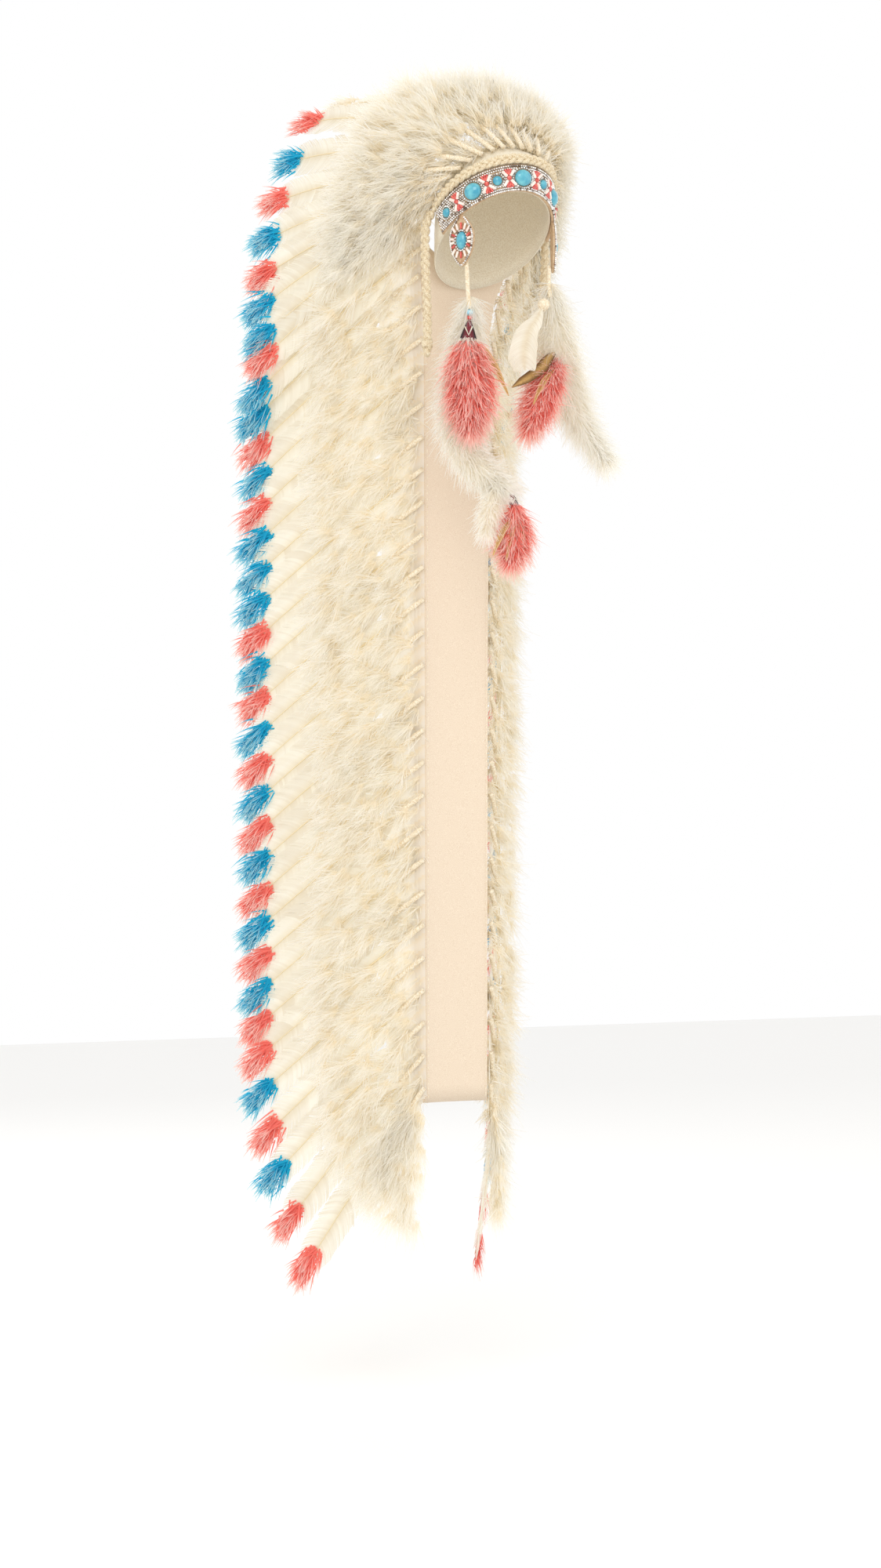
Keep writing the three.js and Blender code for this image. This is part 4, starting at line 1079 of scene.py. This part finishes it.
def ear_flap(side):
    name = side["name"]
    leaf, silver, cream, coral, stone = Heap(), Heap(), Heap(), Heap(), Heap()
    heights = np.linspace(-0.498, 0.498, 40)

    def grid(out):
        return [[flap_point(u * FLAP["width"] * leaf_half_width(h), h * FLAP["height"], out)
                 for u in np.linspace(-1, 1, 9)] for h in heights]

    wall(leaf, grid(0), grid(-FLAP["leather"]))
    if side["sign"] == 1:
        leaf.points = [p * (-1, 1, 1) for p in leaf.points]
    finish_piece(outward(leaf.piece(f"flap_leather_{name}", LEATHER)), "leather", f"ear_flap_{name}")
    axes = flap_axes()
    size = (FLAP_STONE["width"] - 1, FLAP_STONE["height"] - 1, FLAP_STONE["rise"])
    copy_to(stone, DOME, axes, flap_point(0, 0, GAP), size, side)
    finish_piece(stone.piece(f"flap_stone_{name}", STONE), "turquoise", f"flap_cabochon_{name}")
    for k in range(20):
        turn = 2 * math.pi * k / 20
        point = flap_point(10.2 * math.cos(turn), 13.6 * math.sin(turn), 1.6)
        copy_to(silver, BEAD, axes, point, (SEED, SEED, SEED), side)
    for k in range(18):
        turn = 2 * math.pi * (k + 0.5) / 18
        ray2 = np.array([math.cos(turn), math.sin(turn)])
        length = 6.2 if abs(ray2[1]) < 0.6 else 8.6
        start = 11.6 if abs(ray2[1]) < 0.6 else 12.4 + 3 * abs(ray2[1])
        ray = axes[0] * ray2[0] + axes[1] * ray2[1]
        point = flap_point(ray2[0] * (start + length / 2), ray2[1] * (start + length / 2), 2.0)
        heap, wide = (coral, 3.4) if k % 3 == 1 else (cream, 3.8)
        copy_to(heap, TUBE, (np.cross(ray, axes[2]), axes[2], ray), point, (wide, 3.2, length), side)
    for edge in (-1, 1):
        for h in np.linspace(-0.47, 0.44, 27):
            x = edge * (FLAP["width"] * leaf_half_width(h) - 1.6)
            copy_to(silver, BEAD, axes, flap_point(x, h * FLAP["height"], 1.6), (SEED, SEED, SEED), side)
    finish_piece(cream.piece(f"flap_cream_tubes_{name}", CREAM_TUBE, False), "tube_bead",
                 f"flap_beads_{name}")
    finish_piece(coral.piece(f"flap_coral_tubes_{name}", CORAL_TUBE, False), "coral_bead")
    finish_piece(silver.piece(f"flap_seed_beads_{name}", SILVER), "tube_bead")


for side in SIDES:
    ear_flap(side)

# %% [markdown]
# ## Hanging drops
# Below each flap hangs a wrapped thong with beads, small feathers, dyed fluff and a fur tail.
# Their solids are lofts along a line, and the fibres grow on that same line.

# %% Lines of the drops
RIGHT_FEATHER = [(-65.6, -58.6, -136.2, 7, 6), (-70, -65, -152, 22, 7), (-73, -69, -176, 36, 9)]
RIGHT_FLUFF = [(-73, -69.1, -176.4, 32, 12), (-73.5, -72, -202, 54, 26), (-73.5, -76, -234, 68, 30),
               (-74, -78, -266, 58, 22), (-73, -78, -294, 4, 4)]
RIGHT_FUR = [(-61, -51.9, -114, 8, 8), (-60, -45, -136, 24, 16), (-62, -40, -165, 42, 22),
             (-70, -38, -215, 48, 24), (-75, -39, -263, 48, 24), (-70, -46, -302, 46, 24),
             (-52, -60, -334, 40, 22), (-28, -71, -357, 28, 18), (-13, -77, -368, 12, 10)]
END_FEATHER = [(-12.6, -77.2, -368.7, 9, 6), (-10.5, -79, -378, 13, 7), (-8, -80, -391, 9, 6)]
END_FLUFF = [(-7.9, -80.1, -391.4, 11, 8), (-9, -82, -410, 38, 20), (-12, -84, -436, 54, 24),
             (-16, -85, -456, 36, 14), (-19, -85, -470, 4, 4)]
LEFT_OVAL = [(41, -65.5, -114, 6, 4), (33, -68, -128, 22, 3.4), (20, -70, -146, 35, 3.2),
             (11, -72, -172, 39, 3), (10, -73, -190, 28, 2.8), (11, -74, -201, 2, 2)]
LEFT_FUR = [(64.5, -52.3, -90, 8, 8), (67, -48, -112, 26, 16), (74, -44, -142, 48, 24),
            (80, -43, -180, 62, 26), (90, -43, -216, 58, 26), (106, -42, -250, 44, 22),
            (128, -40, -280, 24, 16), (148, -39, -303, 10, 7), (163, -38, -321, 8, 3)]
LEFT_STRIPED = [(68, -49, -171, 10, 5), (57, -58, -179, 16, 4.5), (41, -64, -195, 19, 4),
                (17, -68, -211, 16, 3), (-6, -70, -224, 2, 2)]
LEFT_FLUFF = [(68, -50, -190, 16, 10), (56, -60, -206, 32, 18), (44, -64, -230, 46, 26),
              (30, -68, -258, 44, 22), (15, -70, -290, 4, 4)]
ACROSS = np.array([math.cos(VIEW_TURN), -math.sin(VIEW_TURN), 0])


def drop_line(rows, count=40):
    """Middles, widths, depths and axes along a drop."""
    rows = np.asarray(rows, float)
    path, length = smooth_route(rows[:, :3], count)
    run = np.concatenate([[0], np.cumsum(np.linalg.norm(np.diff(rows[:, :3], axis=0), axis=1))])
    at = np.linspace(0, run[-1], count)
    wide, deep = np.interp(at, run, rows[:, 3]), np.interp(at, run, rows[:, 4])
    ahead = unit(np.gradient(path, axis=0))
    across = unit(ACROSS - ahead * (ahead @ ACROSS)[:, None])
    return path, wide, deep, ahead, across, np.cross(ahead, across)


def fluff(heap, rows, strands, length, width=1.2, lean=0.8, sag=4, core=0.45, noise=0.35):
    """Fibres that leave a drop's line all round and lie along it."""
    path, wide, deep, ahead, across, out = drop_line(rows)
    k = rng.integers(0, len(path), strands)
    turn = rng.uniform(0, 2 * math.pi, strands)
    ring = across[k] * (np.cos(turn) * wide[k] / 2)[:, None] + out[k] * (np.sin(turn) * deep[k] / 2)[:, None]
    depth = rng.uniform(core, 0.95, strands)[:, None]
    start = path[k] + ring * depth - ahead[k] * length * 0.35
    direction = ahead[k] * lean + unit(ring + 1e-6) * 0.45 + noise * rng.normal(size=(strands, 3))
    ribbons(heap, start, direction, unit(ring + 1e-6) + 0.4 * rng.normal(size=(strands, 3)),
            length * rng.uniform(0.6, 1.1, strands), width, sag, 3)


def small_feather(heap, rows, pairs=46):
    """A small flat feather: barbs on both sides of a drop's line."""
    path, wide, deep, ahead, across, out = drop_line(rows, pairs)
    for half in (-1, 1):
        t = np.linspace(0, 1, 5)[None, :, None]
        step = np.linalg.norm(path[1] - path[0])
        edges = []
        for edge in (-1, 1):
            lead = ahead[:, None] * (edge * step * 0.6 + wide[:, None, None] * 0.45 * t * t)
            edges.append(path[:, None] + lead + across[:, None] * half * wide[:, None, None] / 2 * t)
        points = np.stack(edges if half == 1 else edges[::-1], axis=2)
        heap.add(points, grid_faces(len(path), 5), np.broadcast_to(t[..., None], (len(path), 5, 2, 1)),
                 np.broadcast_to(rng.random(len(path))[:, None, None, None], (len(path), 5, 2, 1)))


# %% Drops
def wrapped_thong(name, points, node):
    path, length = smooth_route(points, 40)
    at = np.linspace(0, length, 40)
    heap = Heap()
    tube(heap, path, 2.9 + 0.25 * np.sin(at * 2.4), 10)
    finish_piece(heap.piece(name, WRAP), "leather", node)


def thong_start(side, x):
    point = flap_point(x, 9 - FLAP["height"] / 2, -FLAP["leather"] - 2 * GAP - 3)
    return point * ((1, 1, 1) if side["sign"] == -1 else (-1, 1, 1))


def one_bead(name, material, slot, node, middle, size):
    start_clean()
    bpy.ops.mesh.primitive_uv_sphere_add(segments=24, ring_count=14, radius=0.5)
    heap = Heap()
    copy_to(heap, taken(bpy.context.object), np.eye(3), np.array(middle), size)
    finish_piece(heap.piece(name, material), slot, node)


def soft_piece(name, material, slot, node, build):
    heap = Heap()
    build(heap)
    return finish_piece(heap.piece(name, material), slot, *([node] if node else []))


def fluff_piece(name, material, slot, node, rows, strands, length, width=1.2):
    return soft_piece(name, material, slot, node, lambda heap: fluff(heap, rows, strands, length, width))


def feather_piece(name, material, slot, node, rows, pairs=46):
    return soft_piece(name, material, slot, node, lambda heap: small_feather(heap, rows, pairs))


wrapped_thong("thong_right", [thong_start(RIGHT, 3), (-65.4, -54, -95), (-65.1, -58, -121)],
              "drop_thong_right")
wrapped_thong("thong_left", [thong_start(LEFT, 3), (58.2, -54, -79), (58.5, -58, -98)],
              "drop_thong_left")
one_bead("pale_blue_bead", PALE_BLUE, "blue_bead", "drop_blue_bead_right",
         (-65.1, -58, -125.3), (9.5, 9.5, 8))
one_bead("coral_bead", CORAL_TUBE, "coral_bead", "drop_coral_bead_right",
         (-65.1, -58, -132.6), (7.6, 7.6, 6))
feather_piece("maroon_feather_right", MAROON, "maroon_feather", "drop_feather_right", RIGHT_FEATHER)
fluff_piece("coral_fluff_right", CORAL_FLUFF, "coral_fluff", "drop_fluff_right", RIGHT_FLUFF, 3400, 30, 1.4)
fluff_piece("white_fur_right", FUR, "fur", "fur_tail_right", RIGHT_FUR, 7000, 30)
feather_piece("maroon_end_feather", MAROON, "maroon_feather", "tail_end_feather_right", END_FEATHER, 16)
fluff_piece("coral_end_fluff", CORAL_FLUFF, "coral_fluff", "tail_end_fluff_right", END_FLUFF, 2000, 26)
one_bead("white_ball", WRAP, "down", "drop_ball_left", (45, -64, -109), (17, 17, 17))
feather_piece("cream_oval_feather", VANE, "feather", "drop_oval_feather_left", LEFT_OVAL, 60)
fluff_piece("white_fur_left", FUR, "fur", "fur_tail_left", LEFT_FUR, 7000, 32)
feather_piece("striped_feather", BROWN, "striped_feather", "drop_striped_feather_left", LEFT_STRIPED, 50)
fluff_piece("coral_fluff_left", CORAL_FLUFF, "coral_fluff", "drop_fluff_left", LEFT_FLUFF, 2600, 30)

# %% Hackles and small fluff on the drops
# Thin golden feathers stick out of the fluffs, and a little white fluff ends the fur tail.
HACKLES = [((-61, -73, -166), (-19, -82, -236), 9), ((-66, -76, -172), (-44, -90, -238), 8),
           ((-14, -86, -402), (-46, -90, -452), 8), ((-10, -86, -404), (-27, -92, -458), 7),
           ((60, -66, -196), (20, -82, -246), 8), ((-4, -87, -398), (-2, -95, -446), 7)]


def hackles(heap):
    for start, end, wide in HACKLES:
        start, end = np.array(start, float), np.array(end, float)
        rows = []
        for t in (0, 0.25, 0.55, 0.85, 1):
            middle = start + (end - start) * t + UP * 7 * math.sin(math.pi * t)
            rows.append((*middle, 1 + wide * math.sin(math.pi * min(0.15 + t * 0.85, 0.97)), 1))
        small_feather(heap, rows, 40)


MARKS = [((-72.3, -69.5, -151), 5), ((-12.5, -83, -378), 2.6)]
SPOTS = [(-77, -71, -170), (-72.6, -73.2, -171)]


def white_marks(heap):
    """White V marks on the maroon feathers, and two small spots below the larger one."""
    for middle, arm in MARKS:
        middle = np.array(middle)
        left, right = middle - ACROSS * arm + UP * arm, middle + ACROSS * arm + UP * arm
        tube(heap, np.array([left, middle - UP * arm * 1.3, right]), 1.1)
    for middle in SPOTS:
        middle = np.array(middle)
        tube(heap, np.array([middle + UP * 2.6, middle - UP * 2.6]), 0.9)


soft_piece("white_marks", VANE, "feather", None, white_marks)
PALE_BAND = [(-72, -69.5, -166, 28, 9), (-73, -71, -174, 34, 11), (-73, -71.5, -184, 38, 13)]
fluff_piece("pale_band_right", FUR, "fur", None, PALE_BAND, 700, 13)
soft_piece("golden_hackles", GOLD, "striped_feather", None, hackles)
TAIL_WISP = [(-30, -74, -356, 12, 8), (-42, -78, -382, 24, 14), (-50, -82, -408, 26, 14),
             (-53, -84, -432, 8, 6)]
fluff_piece("white_tail_wisp", FUR, "fur", None, TAIL_WISP, 1200, 22)

# %% [markdown]
# ## Floor and light
# A plain pale floor in white surroundings, under broad soft lights, as in a product studio.

# %% Studio


def studio():
    start_clean()
    bpy.ops.mesh.primitive_plane_add(size=14, location=(0, 0, -1.62))
    floor = bpy.context.object
    floor.name = "floor"
    bpy.ops.object.transform_apply(location=True, rotation=True, scale=True)
    floor.data.materials.append(plain_material("pale floor", srgb(244, 243, 241), 0.8)[0])
    world = bpy.context.scene.world or bpy.data.worlds.new("studio")
    bpy.context.scene.world = world
    world.use_nodes = True
    world.node_tree.nodes["Background"].inputs["Color"].default_value = (1, 1, 1, 1)
    world.node_tree.nodes["Background"].inputs["Strength"].default_value = 1.0
    for name, place, aim, size, power in (
        ("key", (-2.6, -3.4, 2.2), (-0.1, 0.1, -0.5), 2.6, 62),
        ("fill", (3.0, -3.0, 0.6), (0, 0, -0.6), 3.0, 16),
        ("back", (0.5, 3.4, 1.4), (0, 0, -0.6), 2.6, 22),
    ):
        data = bpy.data.lights.new(name, "AREA")
        data.size, data.energy = size, power
        lamp = bpy.data.objects.new(name, data)
        lamp.location = place
        lamp.rotation_euler = (Vector(aim) - Vector(place)).to_track_quat("-Z", "Y").to_euler()
        bpy.context.scene.collection.objects.link(lamp)
    bpy.context.scene.view_settings.view_transform = "Standard"


studio()
